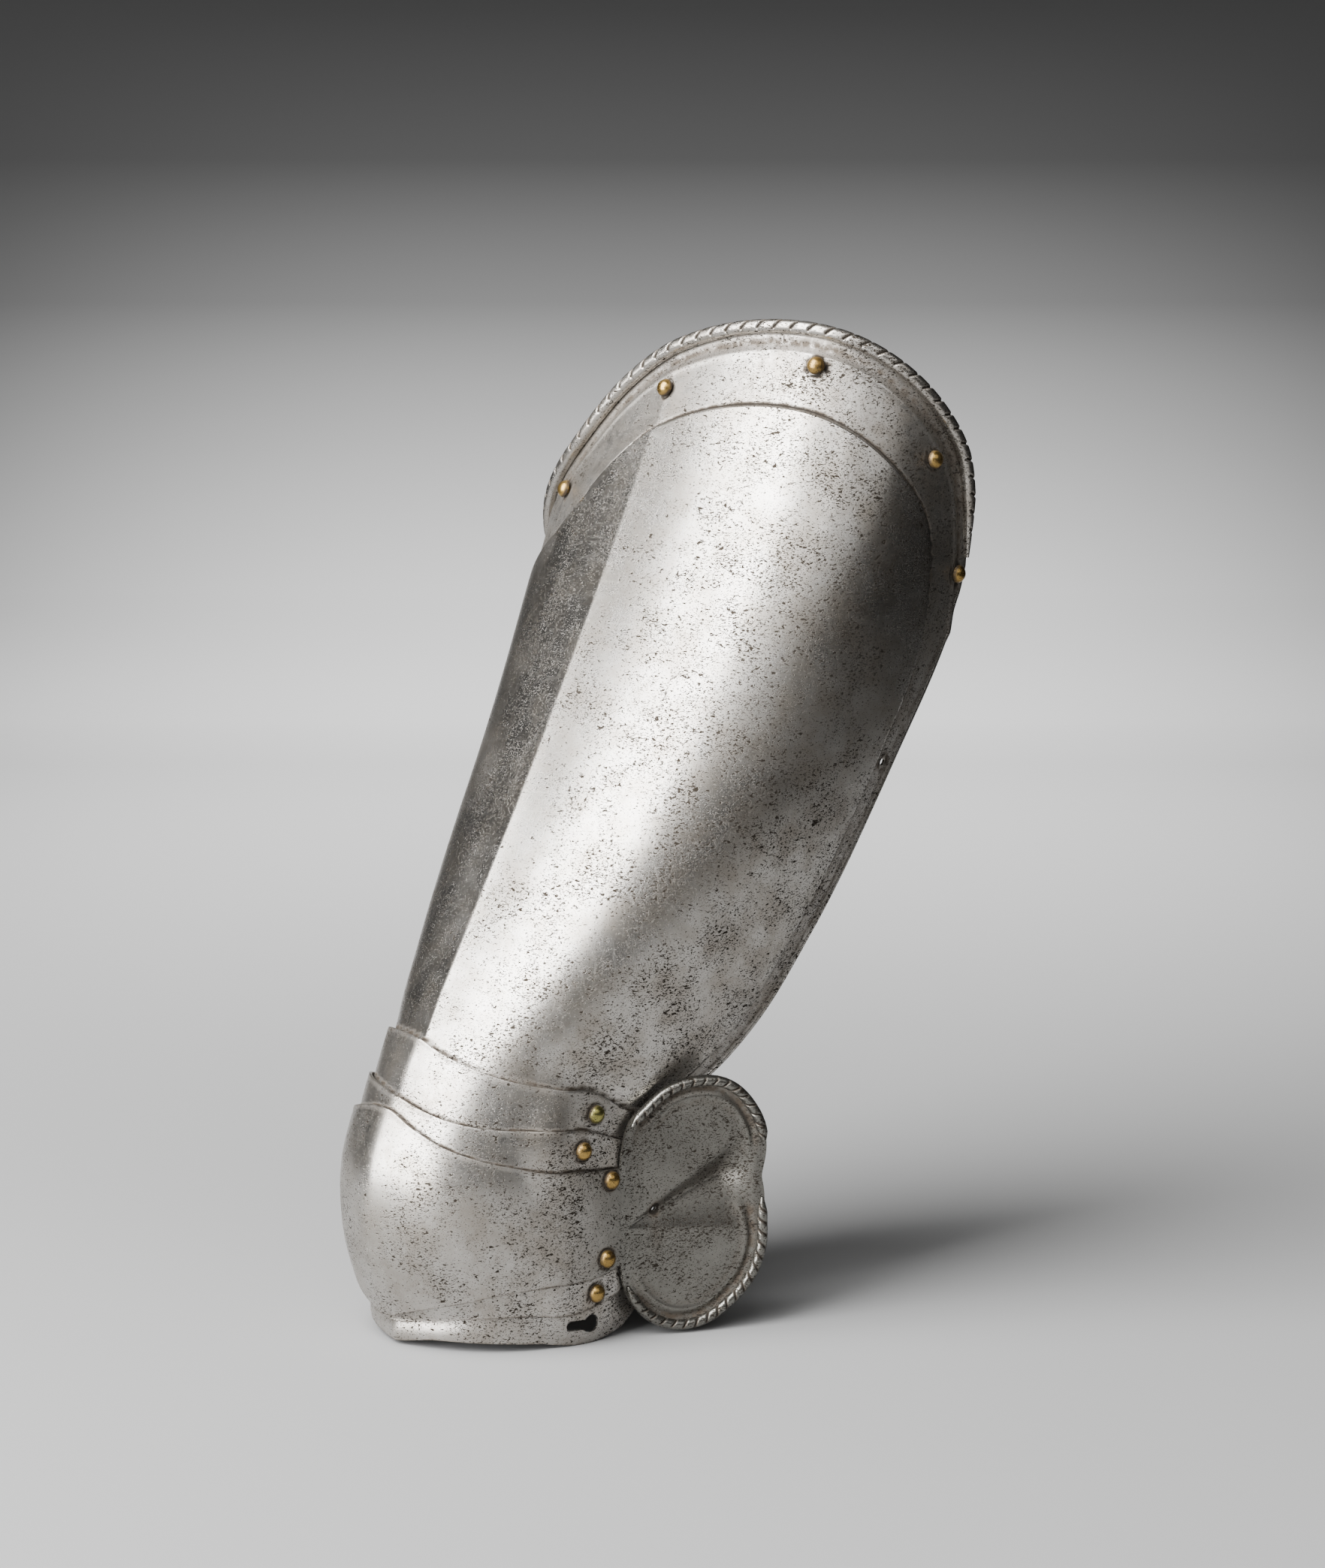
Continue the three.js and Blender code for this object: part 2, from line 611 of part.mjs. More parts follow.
// V-shaped pucker between the lobes: its angles from its apex in degrees.
const PUCKER = { apex: 0.03, high: 29, deep: 21, low: -12, depth: 0.11 };

function puckerDepth(back, up) {
  const run = Math.max(back - WING_REACH * PUCKER.apex, 0.001);
  const angle = THREE.MathUtils.radToDeg(Math.atan2(up, run));
  const above = 1 - THREE.MathUtils.smoothstep(angle, PUCKER.deep, PUCKER.high);
  const below = THREE.MathUtils.smoothstep(angle, PUCKER.low, PUCKER.deep);
  return PUCKER.depth * Math.hypot(run, up) * above * below;
}

function wingPoint(back, up, raise) {
  const share = Math.max(back, 0) / WING_REACH;
  const flare = WING_FLARE * (Math.sqrt(share ** 2 + 0.03) - Math.sqrt(0.03)) * 1.19;
  const x = copInside + WING_SEAT + flare - puckerDepth(back, up) + raise;
  return new THREE.Vector3(x, wingRootY + back, up);
}

function wingRim(angle, ring) {
  const turn = THREE.MathUtils.degToRad(angle);
  const reach = curve(WING_OUTLINE, "angle", "reach", angle) * ring;
  const back = WING_REACH * WING_BREADTH * reach * Math.cos(turn);
  return [wingMiddle.back + back, wingMiddle.up + (WING_HEIGHT / 2) * reach * Math.sin(turn)];
}

function wingSheet() {
  const spokes = 30;
  const rings = [1, 0.75, 0.4];
  const faces = [PLATE, 0];
  const positions = [];
  for (const raise of faces) {
    for (const ring of rings) {
      for (let k = 0; k < spokes; k++) {
        const [back, up] = wingRim(-180 + (360 * k) / spokes, ring);
        positions.push(wingPoint(back, up, raise));
      }
    }
    positions.push(wingPoint(wingMiddle.back, wingMiddle.up, raise));
  }
  const size = rings.length * spokes + 1;
  const at = (face, ring, k) => face * size + ring * spokes + (k % spokes);
  const index = [];
  const quad = (a, b, c, d, flip) => {
    if (flip) index.push(a, c, b, a, d, c);
    else index.push(a, b, c, a, c, d);
  };
  for (let k = 0; k < spokes; k++) {
    for (const face of [0, 1]) {
      for (let r = 0; r < rings.length - 1; r++) {
        quad(at(face, r, k), at(face, r, k + 1), at(face, r + 1, k + 1), at(face, r + 1, k), face);
      }
      const r = rings.length - 1;
      const middle = face * size + size - 1;
      if (face) index.push(at(face, r, k), middle, at(face, r, k + 1));
      else index.push(at(face, r, k), at(face, r, k + 1), middle);
    }
    quad(at(1, 0, k), at(1, 0, k + 1), at(0, 0, k + 1), at(0, 0, k), 0);
  }
  const geometry = new THREE.BufferGeometry();
  const flat = positions.flatMap((p) => [p.x, p.y, p.z]);
  geometry.setAttribute("position", new THREE.Float32BufferAttribute(flat, 3));
  geometry.setIndex(index);
  return toManifold(geometry);
}

function wingBead() {
  const from = -128;
  const to = 124;
  const samples = 200;
  const ring = 1 - WING_ROPE_RADIUS / (WING_HEIGHT / 2);
  const raise = PLATE / 2 + WING_ROPE_RADIUS * 0.45;
  const rim = (t) => wingPoint(...wingRim(THREE.MathUtils.lerp(from, to, t), ring), raise);
  const line = new THREE.CatmullRomCurve3(Array.from({ length: samples }, (_, i) => rim(i / (samples - 1))));
  const count = Math.round((line.getLength() / WING_ROPE_PITCH) * 2);
  const places = Array.from({ length: count + 1 }, (_, i) => {
    const along = line.getTangentAt(i / count);
    const out = new THREE.Vector3(1, 0, 0);
    const beyond = out.clone().cross(along).normalize();
    return { point: line.getPointAt(i / count), out: along.clone().cross(beyond).normalize(), beyond };
  });
  return bead(places, 5, ropeRadius(WING_ROPE_RADIUS, WING_ROPE_PITCH, 0.05));
}

// Rivets: domed head, shank and hammered inner end, turned about their axis.
function rivetSolid(grip) {
  const half = grip / 2 + SHANK_CLEARANCE;
  const profile = [
    new THREE.Vector2(0, -half - BURR_HEIGHT),
    new THREE.Vector2(BURR_RADIUS * 0.8, -half - BURR_HEIGHT),
    new THREE.Vector2(BURR_RADIUS, -half),
    new THREE.Vector2(SHANK_RADIUS, -half),
    new THREE.Vector2(SHANK_RADIUS, half),
    new THREE.Vector2(HEAD_RADIUS, half),
    new THREE.Vector2(HEAD_RADIUS * 0.75, half + HEAD_HEIGHT * 0.7),
    new THREE.Vector2(0, half + HEAD_HEIGHT),
  ];
  return new THREE.LatheGeometry(profile, 8);
}

const steel = { color: 0x9a9894, roughness: 0.38, metalness: 1 };
const brass = { color: 0xa8803c, roughness: 0.35, metalness: 1 };
const leg = new THREE.Group();

function addPiece(name, geometry, finish) {
  const mesh = new THREE.Mesh(geometry, new THREE.MeshStandardMaterial(finish));
  mesh.name = name;
  leg.add(mesh);
  return mesh;
}

// Pairs of plates that each pivot joins, inner plate first.
const PIVOT_PLATES = {
  pivot_1: ["cuisse", "upper_lame_1"],
  pivot_2: ["upper_lame_1", "upper_lame_2"],
  pivot_3: ["upper_lame_2", "poleyn"],
  pivot_4: ["lower_lame_1", "poleyn"],
  pivot_5: ["lower_lame_2", "lower_lame_1"],
};
// below is a share of BORDER_WIDTH.
const LINING_RIVETS = [
  { turn: -1.0, below: 0.553 },
  { turn: -0.5, below: 0.54 },
  { turn: 0, below: 0.526 },
  { turn: 0.585, below: 0.421 },
  { turn: 0.99, below: 0.513 },
  { turn: 1.22, below: 0.5 },
];

const plates = {
  cuisse: Manifold.union([cuisseSheet(), archBead(), rearBead(1), rearBead(-1)]),
  upper_lame_1: bandPlate("upper_lame_1", 3),
  upper_lame_2: bandPlate("upper_lame_2", 3),
  poleyn: Manifold.union([bandPlate("poleyn", 6), wingSheet(), wingBead()]),
  lower_lame_1: bandPlate("lower_lame_1", 3),
  lower_lame_2: bandPlate("lower_lame_2", 3),
};

const cutLength = PLATE * 10; // through any one plate
const alongX = new THREE.Vector3(1, 0, 0);
for (const pivot of pivots) {
  const names = PIVOT_PLATES[pivot.name];
  const reach = kneeHalf + cutLength;
  const start = new THREE.Vector3(-reach, pivot.y, pivot.z);
  const hole = cylinder(SHANK_RADIUS + SHANK_CLEARANCE, start, alongX, 2 * reach);
  for (const name of names) plates[name] = plates[name].subtract(hole);
  const tucked = names[0] === "cuisse" ? TUCK : 0;
  const inner = kneeHalf + LAYERS[names[0]] * (PLATE + SIDE_GAP) - tucked;
  const outer = kneeHalf + LAYERS[names[1]] * (PLATE + SIDE_GAP) + PLATE;
  for (const side of ["outer", "inner"]) {
    const rivet = addPiece(`${pivot.name}_${side}`, rivetSolid(outer - inner), brass);
    const sign = side === "outer" ? 1 : -1;
    rivet.position.set((sign * (outer + inner)) / 2, pivot.y, pivot.z);
    rivet.rotation.z = (-sign * Math.PI) / 2;
  }
}

LINING_RIVETS.forEach(({ turn, below }, i) => {
  const at = archAt(turn) - (below * BORDER_WIDTH) / STEP;
  const out = legNormal(turn, at);
  const middle = cuissePoint(turn, at, PLATE / 2);
  const start = middle.clone().addScaledVector(out, -cutLength / 2);
  const hole = cylinder(SHANK_RADIUS + SHANK_CLEARANCE, start, out, cutLength);
  plates.cuisse = plates.cuisse.subtract(hole);
  const rivet = addPiece(`lining_rivet_${i + 1}`, rivetSolid(LINING_GRIP), brass);
  rivet.position.copy(middle);
  rivet.quaternion.setFromUnitVectors(new THREE.Vector3(0, 1, 0), out);
});

// Strap hole in the outer rear border, small hole in the wing, and the keyhole
// that a turning pin of the greave once locked into.
const STRAP_HOLE = { turn: 1.251, at: 14.7 };
const WING_HOLE = { back: 0.26, up: 0.05 }; // shares of WING_REACH and WING_HEIGHT
const KEYHOLE = { turn: 0.87, at: -1.2, slotTurn: 0.75, slotAt: -1.05 };

function cutAcross(name, place, radius) {
  const out = legNormal(place.turn, place.at);
  const start = platePoint(LAYERS[name], place.turn, place.at, -cutLength / 2);
  plates[name] = plates[name].subtract(cylinder(radius, start, out, cutLength));
}
cutAcross("cuisse", STRAP_HOLE, STRAP_HOLE_RADIUS);
cutAcross("lower_lame_2", KEYHOLE, KEYHOLE_RADIUS);
const slotSteps = Math.ceil(KEYHOLE_LENGTH / (KEYHOLE_SLOT * 0.8));
for (let i = 1; i <= slotSteps; i++) {
  const turn = THREE.MathUtils.lerp(KEYHOLE.turn, KEYHOLE.slotTurn, i / slotSteps);
  const at = THREE.MathUtils.lerp(KEYHOLE.at, KEYHOLE.slotAt, i / slotSteps);
  cutAcross("lower_lame_2", { turn, at }, KEYHOLE_SLOT / 2);
}
const wingHole = wingPoint(WING_REACH * WING_HOLE.back, WING_HEIGHT * WING_HOLE.up, -cutLength / 2);
plates.poleyn = plates.poleyn.subtract(cylinder(WING_HOLE_RADIUS, wingHole, alongX, cutLength));

for (const [name, solid] of Object.entries(plates)) addPiece(name, toGeometry(solid), steel);

// The origin is the middle of the thigh's hollow, half way up the thigh plate.
const SEAT_HEIGHT = 0.53; // share of THIGH_LENGTH
const seat = thighRoot.clone().addScaledVector(thighDirection, THIGH_LENGTH * SEAT_HEIGHT);
leg.position.copy(seat).negate();

export default leg;
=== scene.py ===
# %% [markdown]
# A left cuisse with its poleyn: the steel plates that covered a rider's thigh
# and knee. The CAD frame holds every plate at its real size and the joints that
# they turn on. Here each plate is made again in thin, finely divided sheet, with
# the relief, the file cuts and the worn surface that the plain solids leave out.

# %% Load the frame
import math

import bpy
import numpy as np
from mathutils import Matrix, Vector, noise


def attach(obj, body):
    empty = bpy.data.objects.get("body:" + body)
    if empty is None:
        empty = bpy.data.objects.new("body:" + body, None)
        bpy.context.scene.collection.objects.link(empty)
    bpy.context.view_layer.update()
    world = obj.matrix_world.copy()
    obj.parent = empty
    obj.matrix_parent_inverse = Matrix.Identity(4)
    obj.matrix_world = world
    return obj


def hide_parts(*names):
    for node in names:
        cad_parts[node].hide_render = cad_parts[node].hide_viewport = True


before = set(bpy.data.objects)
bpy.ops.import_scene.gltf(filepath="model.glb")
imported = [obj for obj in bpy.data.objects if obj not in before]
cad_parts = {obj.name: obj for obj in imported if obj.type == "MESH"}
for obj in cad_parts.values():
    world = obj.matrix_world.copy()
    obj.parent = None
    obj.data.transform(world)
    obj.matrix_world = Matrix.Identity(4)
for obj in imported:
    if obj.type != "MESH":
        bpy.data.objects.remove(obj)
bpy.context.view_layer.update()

# %% [markdown]
# Every plate is beaten over one form, the leg. The form is a row of sections
# from the shin to the hip, each a squarish oval with a keel in front, and the
# plates are bands of it, one layer outside the other. Lengths are millimetres,
# measured from the middle of the knee, until a mesh is filled.

# %% Sizes of the leg's form
MM = 0.001
PLATE = 1.2
SIDE_GAP = 0.7
FRONT_GAP = 1.8
KNEE_REACH = 93
KNEE_HALF = 57.5
THIGH_LENGTH = 360
THIGH_HALF = 100
THIGH_FRONT = 69
LEAN = math.radians(28)
RIDGE = 5
ROUNDNESS = 2.3
RIDGE_SPREAD = 0.2
STEP = 22
THIGH_START = 5.7
REAR_REACH = 1.88 * KNEE_HALF
THIGH_AXIS = np.array([0, math.sin(LEAN), math.cos(LEAN)])
THIGH_ROOT = KNEE_REACH * np.array([0, 0.032, 0.505])
SEAT = THIGH_ROOT + 0.53 * THIGH_LENGTH * THIGH_AXIS

# at, tilt, back, up, front, outer, inner, keel, as shares of the sizes above
KNEE_SECTIONS = [
    (-3, 0.2, -0.01, -0.83, 0.62, 0.94, 0.94, 1),
    (-2, 0, 0, -0.625, 0.69, 0.95, 0.95, 1.1),
    (-1, -0.3, 0.03, -0.4, 0.79, 0.98, 0.98, 1.2),
    (0, -0.54, 0.05, -0.18, 0.825, 1, 1, 1.2),
    (1.75, 0, 0.03, -0.02, 0.88, 1, 1, 1.1),
    (3.1, 0.43, 0.03, 0.11, 0.9, 1, 1, 1.1),
    (4.2, 0.71, 0.04, 0.24, 0.858, 1, 1, 1),
]
# along, front, outer, inner, keel
THIGH_SECTIONS = [
    (0, 1, 0.585, 0.585, 1),
    (0.24, 0.97, 0.87, 0.75, 0.8),
    (0.455, 0.955, 1.03, 0.83, 0.6),
    (0.755, 0.985, 1.13, 0.97, 0.35),
    (1.03, 1.08, 1.06, 1.04, 0.2),
]

sections = []
for at, tilt, back, up, front, outer, inner, keel in KNEE_SECTIONS:
    middle = [KNEE_REACH * back, KNEE_REACH * up]
    widths = [KNEE_REACH * front, KNEE_HALF * outer, KNEE_HALF * inner]
    sections.append([at, LEAN * tilt, *middle, *widths, RIDGE * keel])
for along, front, outer, inner, keel in THIGH_SECTIONS:
    middle = THIGH_ROOT + THIGH_LENGTH * along * THIGH_AXIS
    widths = [THIGH_FRONT * front, THIGH_HALF * outer, THIGH_HALF * inner]
    at = THIGH_START + THIGH_LENGTH * along / STEP
    sections.append([at, LEAN, middle[1], middle[2], *widths, RIDGE * keel])
SECTIONS = np.array(sections)
TILT, BACK, UP, FRONT, OUTER, INNER, KEEL = range(1, 8)
print(len(SECTIONS), "sections from shin to hip")

# %% A smooth curve through a table, and a soft step
def curve(table, column, x):
    """Value of one column of a table, against its first column."""
    xs = table[:, 0]
    ys = table[:, column]
    last = len(xs) - 1
    before = np.maximum(np.arange(last + 1) - 1, 0)
    after = np.minimum(np.arange(last + 1) + 1, last)
    slopes = (ys[after] - ys[before]) / (xs[after] - xs[before])
    i = np.clip(np.searchsorted(xs, x) - 1, 0, last - 1)
    span = xs[i + 1] - xs[i]
    t = (x - xs[i]) / span
    inside = np.clip(t, 0, 1)
    t2 = inside**2
    t3 = inside**3
    value = (2 * t3 - 3 * t2 + 1) * ys[i] + (t3 - 2 * t2 + inside) * span * slopes[i]
    value += (3 * t2 - 2 * t3) * ys[i + 1] + (t3 - t2) * span * slopes[i + 1]
    return value + (t - inside) * span * np.where(t < 0, slopes[0], slopes[last])


def soft_step(x, low, high):
    t = np.clip((x - low) / (high - low), 0, 1)
    return t * t * (3 - 2 * t)


# %% Rivets that the plates turn on: back and up from the middle of the knee
PIVOTS = KNEE_REACH * np.array(
    [[-0.071, 0.57], [-0.172, 0.409], [-0.009, 0.242], [-0.038, -0.143], [-0.091, -0.308]]
)
FLAT_RADIUS = 10
FLAT_FADE = 20


def flatness(y, z):
    """1 where the side is hammered flat for the rivets, 0 away from them."""
    near = np.full(np.shape(y), np.inf)
    for a, b in zip(PIVOTS, PIVOTS[1:]):
        run = b - a
        t = ((y - a[0]) * run[0] + (z - a[1]) * run[1]) / (run @ run)
        t = np.clip(t, 0, 1)
        near = np.minimum(near, np.hypot(y - a[0] - t * run[0], z - a[1] - t * run[1]))
    return 1 - soft_step(near, FLAT_RADIUS, FLAT_RADIUS + FLAT_FADE)


# %% The form of the leg
def leg_point(turn, at):
    """turn is counted from the ridge in quarter turns, at is the section."""
    turn, at = np.broadcast_arrays(np.asarray(turn, float), np.asarray(at, float))
    angle = turn * math.pi / 2
    sine = np.abs(np.sin(angle))
    cosine = np.cos(angle)
    keel = curve(SECTIONS, KEEL, at)
    side = np.where(turn > 0, curve(SECTIONS, OUTER, at), curve(SECTIONS, INNER, at))
    reach = np.where(cosine > 0, curve(SECTIONS, FRONT, at) - keel, REAR_REACH)
    oval = (sine / side) ** ROUNDNESS + (np.abs(cosine) / reach) ** ROUNDNESS
    radius = oval ** (-1 / ROUNDNESS)
    forward = radius * cosine + keel * np.exp(-np.abs(turn) / RIDGE_SPREAD)
    tilt = curve(SECTIONS, TILT, at)
    y = curve(SECTIONS, BACK, at) - forward * np.cos(tilt)
    z = curve(SECTIONS, UP, at) + forward * np.sin(tilt)
    flat = flatness(y, z) * soft_step(np.abs(turn), 0.42, 0.66)
    x = radius * sine * (1 - flat) + KNEE_HALF * flat
    return np.stack([x * np.sign(turn), y, z], -1)


def leg_normal(turn, at):
    d = 0.012
    across = leg_point(turn + d, at) - leg_point(turn - d, at)
    up = leg_point(turn, at + d) - leg_point(turn, at - d)
    normal = np.cross(across, up)
    return normal / np.linalg.norm(normal, axis=-1, keepdims=True)


def layer_height(layer, turn):
    ahead = np.maximum(np.cos(turn * math.pi / 2), 0)
    return layer * (PLATE + SIDE_GAP + (FRONT_GAP - SIDE_GAP) * ahead**3)


def plate_point(layer, turn, at, height):
    """A place on a plate, raised above its inner face."""
    above = (layer_height(layer, turn) + height)[..., None]
    return leg_point(turn, at) + leg_normal(turn, at) * above


print("front of the knee", leg_point(0.0, 1.75).round(1), "mm from its middle")

# %% [markdown]
# The camera stands where the photograph's did: to the front and outer side,
# a little above the knee. It comes early, so that every later look at the scene
# is from there. The knee's middle is set on its place in the picture.

# %% Camera
AZIMUTH = math.radians(47)
ELEVATION = math.radians(9)
CAMERA_DISTANCE = 2.0
LENS = 100
SENSOR = 36
PHOTO = Vector((1764, 2088))
KNEE_PIXEL = Vector((689.4, 1601))


def toward(azimuth, elevation):
    """A direction. The azimuth is counted from the front to the outer side."""
    level = math.cos(elevation)
    return Vector((math.sin(azimuth) * level, -math.cos(azimuth) * level, math.sin(elevation)))


towards_camera = toward(AZIMUTH, ELEVATION)
picture_right = Vector((math.cos(AZIMUTH), math.sin(AZIMUTH), 0))
picture_up = towards_camera.cross(picture_right)
pixel = CAMERA_DISTANCE * SENSOR / LENS / PHOTO.y
off_centre = (PHOTO / 2 - KNEE_PIXEL) * pixel
aim = Vector(-SEAT * MM) + picture_right * off_centre.x - picture_up * off_centre.y
camera_data = bpy.data.cameras.new("camera")
camera_data.lens = LENS
camera_data.sensor_width = SENSOR
camera = bpy.data.objects.new("camera", camera_data)
bpy.context.scene.collection.objects.link(camera)
turned = Matrix((picture_right, picture_up, towards_camera)).transposed().to_4x4()
camera.matrix_world = Matrix.Translation(aim + towards_camera * CAMERA_DISTANCE) @ turned
bpy.context.scene.camera = camera
print("camera at", [round(c, 3) for c in camera.matrix_world.translation])

# %% [markdown]
# A sheet starts as a flat grid primitive. Its corners run from -1 to 1, and a
# function says where on the leg each of them lies. A grid keeps the metal in
# even squares, which a beaten plate needs for its relief, and operators alone
# can't follow a form like this one. Solidify then gives the sheet its thickness.
# Each corner also gets a number for stain and painted shade: 0 is clean, 1 is brown
# and 2 is black. Black is dirt round the rivets and in the rope's cuts, and painted
# shadow along the plates' edges and in creases.

# %% Lay a grid over the form
EDGE_ROUNDING = 0.25


def corners_of(piece):
    corners = np.empty(len(piece.data.vertices) * 3)
    piece.data.vertices.foreach_get("co", corners)
    return corners.reshape(-1, 3)


def set_attribute(piece, name, values):
    """Gives every corner a number that the materials read by its name."""
    attribute = piece.data.attributes.new(name, "FLOAT", "POINT")
    attribute.data.foreach_set("value", np.asarray(values, np.float32))


def lay_grid(name, columns, rows, place):
    """place takes the corners' u and v, and gives points in mm and a number for stains and painted
    shade.
    """
    bpy.ops.object.select_all(action="DESELECT")
    bpy.ops.mesh.primitive_grid_add(x_subdivisions=columns, y_subdivisions=rows, size=2)
    piece = bpy.context.object
    piece.name = name
    piece.data.name = name
    corners = corners_of(piece)
    points, stain_and_shade = place(corners[:, 0], corners[:, 1])
    piece.data.vertices.foreach_set("co", ((points - SEAT) * MM).ravel())
    set_attribute(piece, "stain_and_shade", np.clip(stain_and_shade, 0, 2))
    piece.data.update()
    bpy.ops.object.shade_smooth()
    return piece


def only(piece):
    bpy.ops.object.select_all(action="DESELECT")
    piece.select_set(True)
    bpy.context.view_layer.objects.active = piece


def apply_modifiers(piece):
    only(piece)
    for modifier in list(piece.modifiers):
        bpy.ops.object.modifier_apply(modifier=modifier.name)


def thicken(piece, rounded=True):
    """Adds the inner face, which takes the piece's second material."""
    solid = piece.modifiers.new("thickness", "SOLIDIFY")
    solid.thickness = PLATE * MM
    solid.offset = -1
    solid.material_offset = 1
    if rounded:
        edge = piece.modifiers.new("edge", "BEVEL")
        edge.width = EDGE_ROUNDING * MM
        edge.segments = 2
        edge.limit_method = "ANGLE"
        edge.angle_limit = math.radians(60)
    apply_modifiers(piece)
    bpy.ops.object.shade_smooth_by_angle(angle=math.radians(50))


def spread(x, places):
    """Warps 0..1 so that grid lines crowd where places says."""
    return np.interp(x, np.linspace(0, 1, len(places)), places)


def hammering(points, size, amount, seed):
    """Slight waves left by the hammer, the same on each run."""
    shift = Vector((seed * 7.3, seed * 3.1, seed * 5.7))
    return amount * np.array([noise.noise(Vector(p) / size + shift) for p in points])


def bump(x, middle, width):
    return np.exp(-(((x - middle) / width) ** 2))


# %% [markdown]
# Light steel and dark recesses are one material. A few node groups make the
# marks that time leaves: clusters of rust pits, brown patina, and the fine
# scratches of old polishing. Each group puts out masks only, so the same marks
# can serve steel and brass with other strengths.

# %% Short ways to write node trees
def fill_inputs(tree, node, inputs):
    """Links each named or numbered input to a socket, or sets its value."""
    for name, value in inputs.items():
        socket = node.inputs[name]
        if isinstance(value, bpy.types.NodeSocket):
            tree.links.new(value, socket)
        else:
            socket.default_value = value


def add_node(tree, kind, inputs, **settings):
    node = tree.nodes.new(kind)
    for name, value in settings.items():
        setattr(node, name, value)
    fill_inputs(tree, node, inputs)
    return node


def math_node(tree, operation, a, b=0.5):
    return add_node(tree, "ShaderNodeMath", {0: a, 1: b}, operation=operation).outputs[0]


def times(tree, a, b):
    return math_node(tree, "MULTIPLY", a, b)


def total(tree, first, *others):
    for other in others:
        first = math_node(tree, "ADD", first, other)
    return first


def largest(tree, first, *others):
    for other in others:
        first = math_node(tree, "MAXIMUM", first, other)
    return first


def ramp(tree, value, low, high):
    """0 below low and 1 above high, soft between them."""
    inputs = {"Value": value, "From Min": low, "From Max": high}
    node = add_node(tree, "ShaderNodeMapRange", inputs, interpolation_type="SMOOTHSTEP")
    return node.outputs["Result"]


def noise_at(tree, place, scale, detail, roughness=0.5):
    inputs = {"Vector": place, "Scale": scale, "Detail": detail, "Roughness": roughness}
    return add_node(tree, "ShaderNodeTexNoise", inputs).outputs["Fac"]


def stretched(tree, place, rotation, scale):
    inputs = {"Vector": place, "Rotation": rotation, "Scale": scale}
    return add_node(tree, "ShaderNodeMapping", inputs).outputs["Vector"]


def mix_colours(tree, share, a, b):
    """a where share is 0 and b where it is 1. The node counts its colours 6 and 7."""
    return add_node(tree, "ShaderNodeMix", {0: share, 6: a, 7: b}, data_type="RGBA").outputs[2]


def attribute(tree, name):
    return add_node(tree, "ShaderNodeAttribute", {}, attribute_name=name).outputs["Fac"]


def object_place(tree):
    return tree.nodes.new("ShaderNodeTexCoord").outputs["Object"]


def part_of(tree, place, axis):
    return add_node(tree, "ShaderNodeSeparateXYZ", {"Vector": place}).outputs[axis]


# %% Make a node group, and use one
def new_group(name, inputs, outputs):
    tree = bpy.data.node_groups.new(name, "ShaderNodeTree")
    for socket, value in inputs.items():
        made = tree.interface.new_socket(socket, in_out="INPUT", socket_type="NodeSocketFloat")
        made.default_value = value
    for socket in outputs:
        tree.interface.new_socket(socket, in_out="OUTPUT", socket_type="NodeSocketFloat")
    given = tree.nodes.new("NodeGroupInput").outputs
    result = tree.nodes.new("NodeGroupOutput").inputs
    return tree, given, result, object_place(tree)


def use_group(tree, group, **inputs):
    node = tree.nodes.new("ShaderNodeGroup")
    node.node_tree = group
    fill_inputs(tree, node, inputs)
    return node.outputs


# %% Rust pits, in clusters that are denser towards the outer side
CLUSTER_SCALE = 42
DENSER_IN_CLUSTERS = 0.13
# the noise scale of each size of speck, and the level above which it shows
SPECKS = [(1000, 0.675), (1900, 0.675), (470, 0.72)]

inputs = {"Amount": 0.5, "Scale": 1}
rust_pits, given, result, place = new_group("rust_pits", inputs, ["Pits", "Bloom"])
outward = ramp(rust_pits, part_of(rust_pits, place, "X"), 0, 0.09)
cluster_scale = times(rust_pits, given["Scale"], CLUSTER_SCALE)
field = total(
    rust_pits,
    noise_at(rust_pits, place, cluster_scale, 5, 0.62),
    times(rust_pits, given["Amount"], 0.25),
    times(rust_pits, outward, 0.07),
)
field = ramp(rust_pits, field, 0.32, 0.92)
slanted = stretched(rust_pits, place, (0.5, 0.2, 0), (0.62, 0.7, 1.3))
layers = []
for scale, least in SPECKS:
    specks = noise_at(rust_pits, slanted, times(rust_pits, given["Scale"], scale), 3, 0.55)
    lowest = math_node(rust_pits, "SUBTRACT", least, times(rust_pits, field, DENSER_IN_CLUSTERS))
    layers.append(ramp(rust_pits, math_node(rust_pits, "SUBTRACT", specks, lowest), 0, 0.05))
rust_pits.links.new(largest(rust_pits, *layers), result["Pits"])
rust_pits.links.new(field, result["Bloom"])

# %% Brown patina, uneven and blotchy
patina, given, result, place = new_group("patina", {"Amount": 0.5, "Stain": 0}, ["Mask"])
broad = ramp(patina, noise_at(patina, place, 14, 7, 0.62), 0.45, 0.75)
fine = ramp(patina, noise_at(patina, place, 240, 4, 0.6), 0.18, 0.62)
film = times(patina, broad, given["Amount"])
blotches = times(patina, math_node(patina, "MINIMUM", given["Stain"], 1), fine)
mask = math_node(patina, "MINIMUM", total(patina, film, blotches), 1)
patina.links.new(mask, result["Mask"])

# %% Scratches of old polishing, mostly across the plate
# the turn of each direction of strokes, and how its noise is stretched
STROKES = [(0.3, (28, 28, 1500)), (-0.5, (40, 1100, 60)), (1.1, (900, 30, 90))]
GRAIN_SCALE = 1700

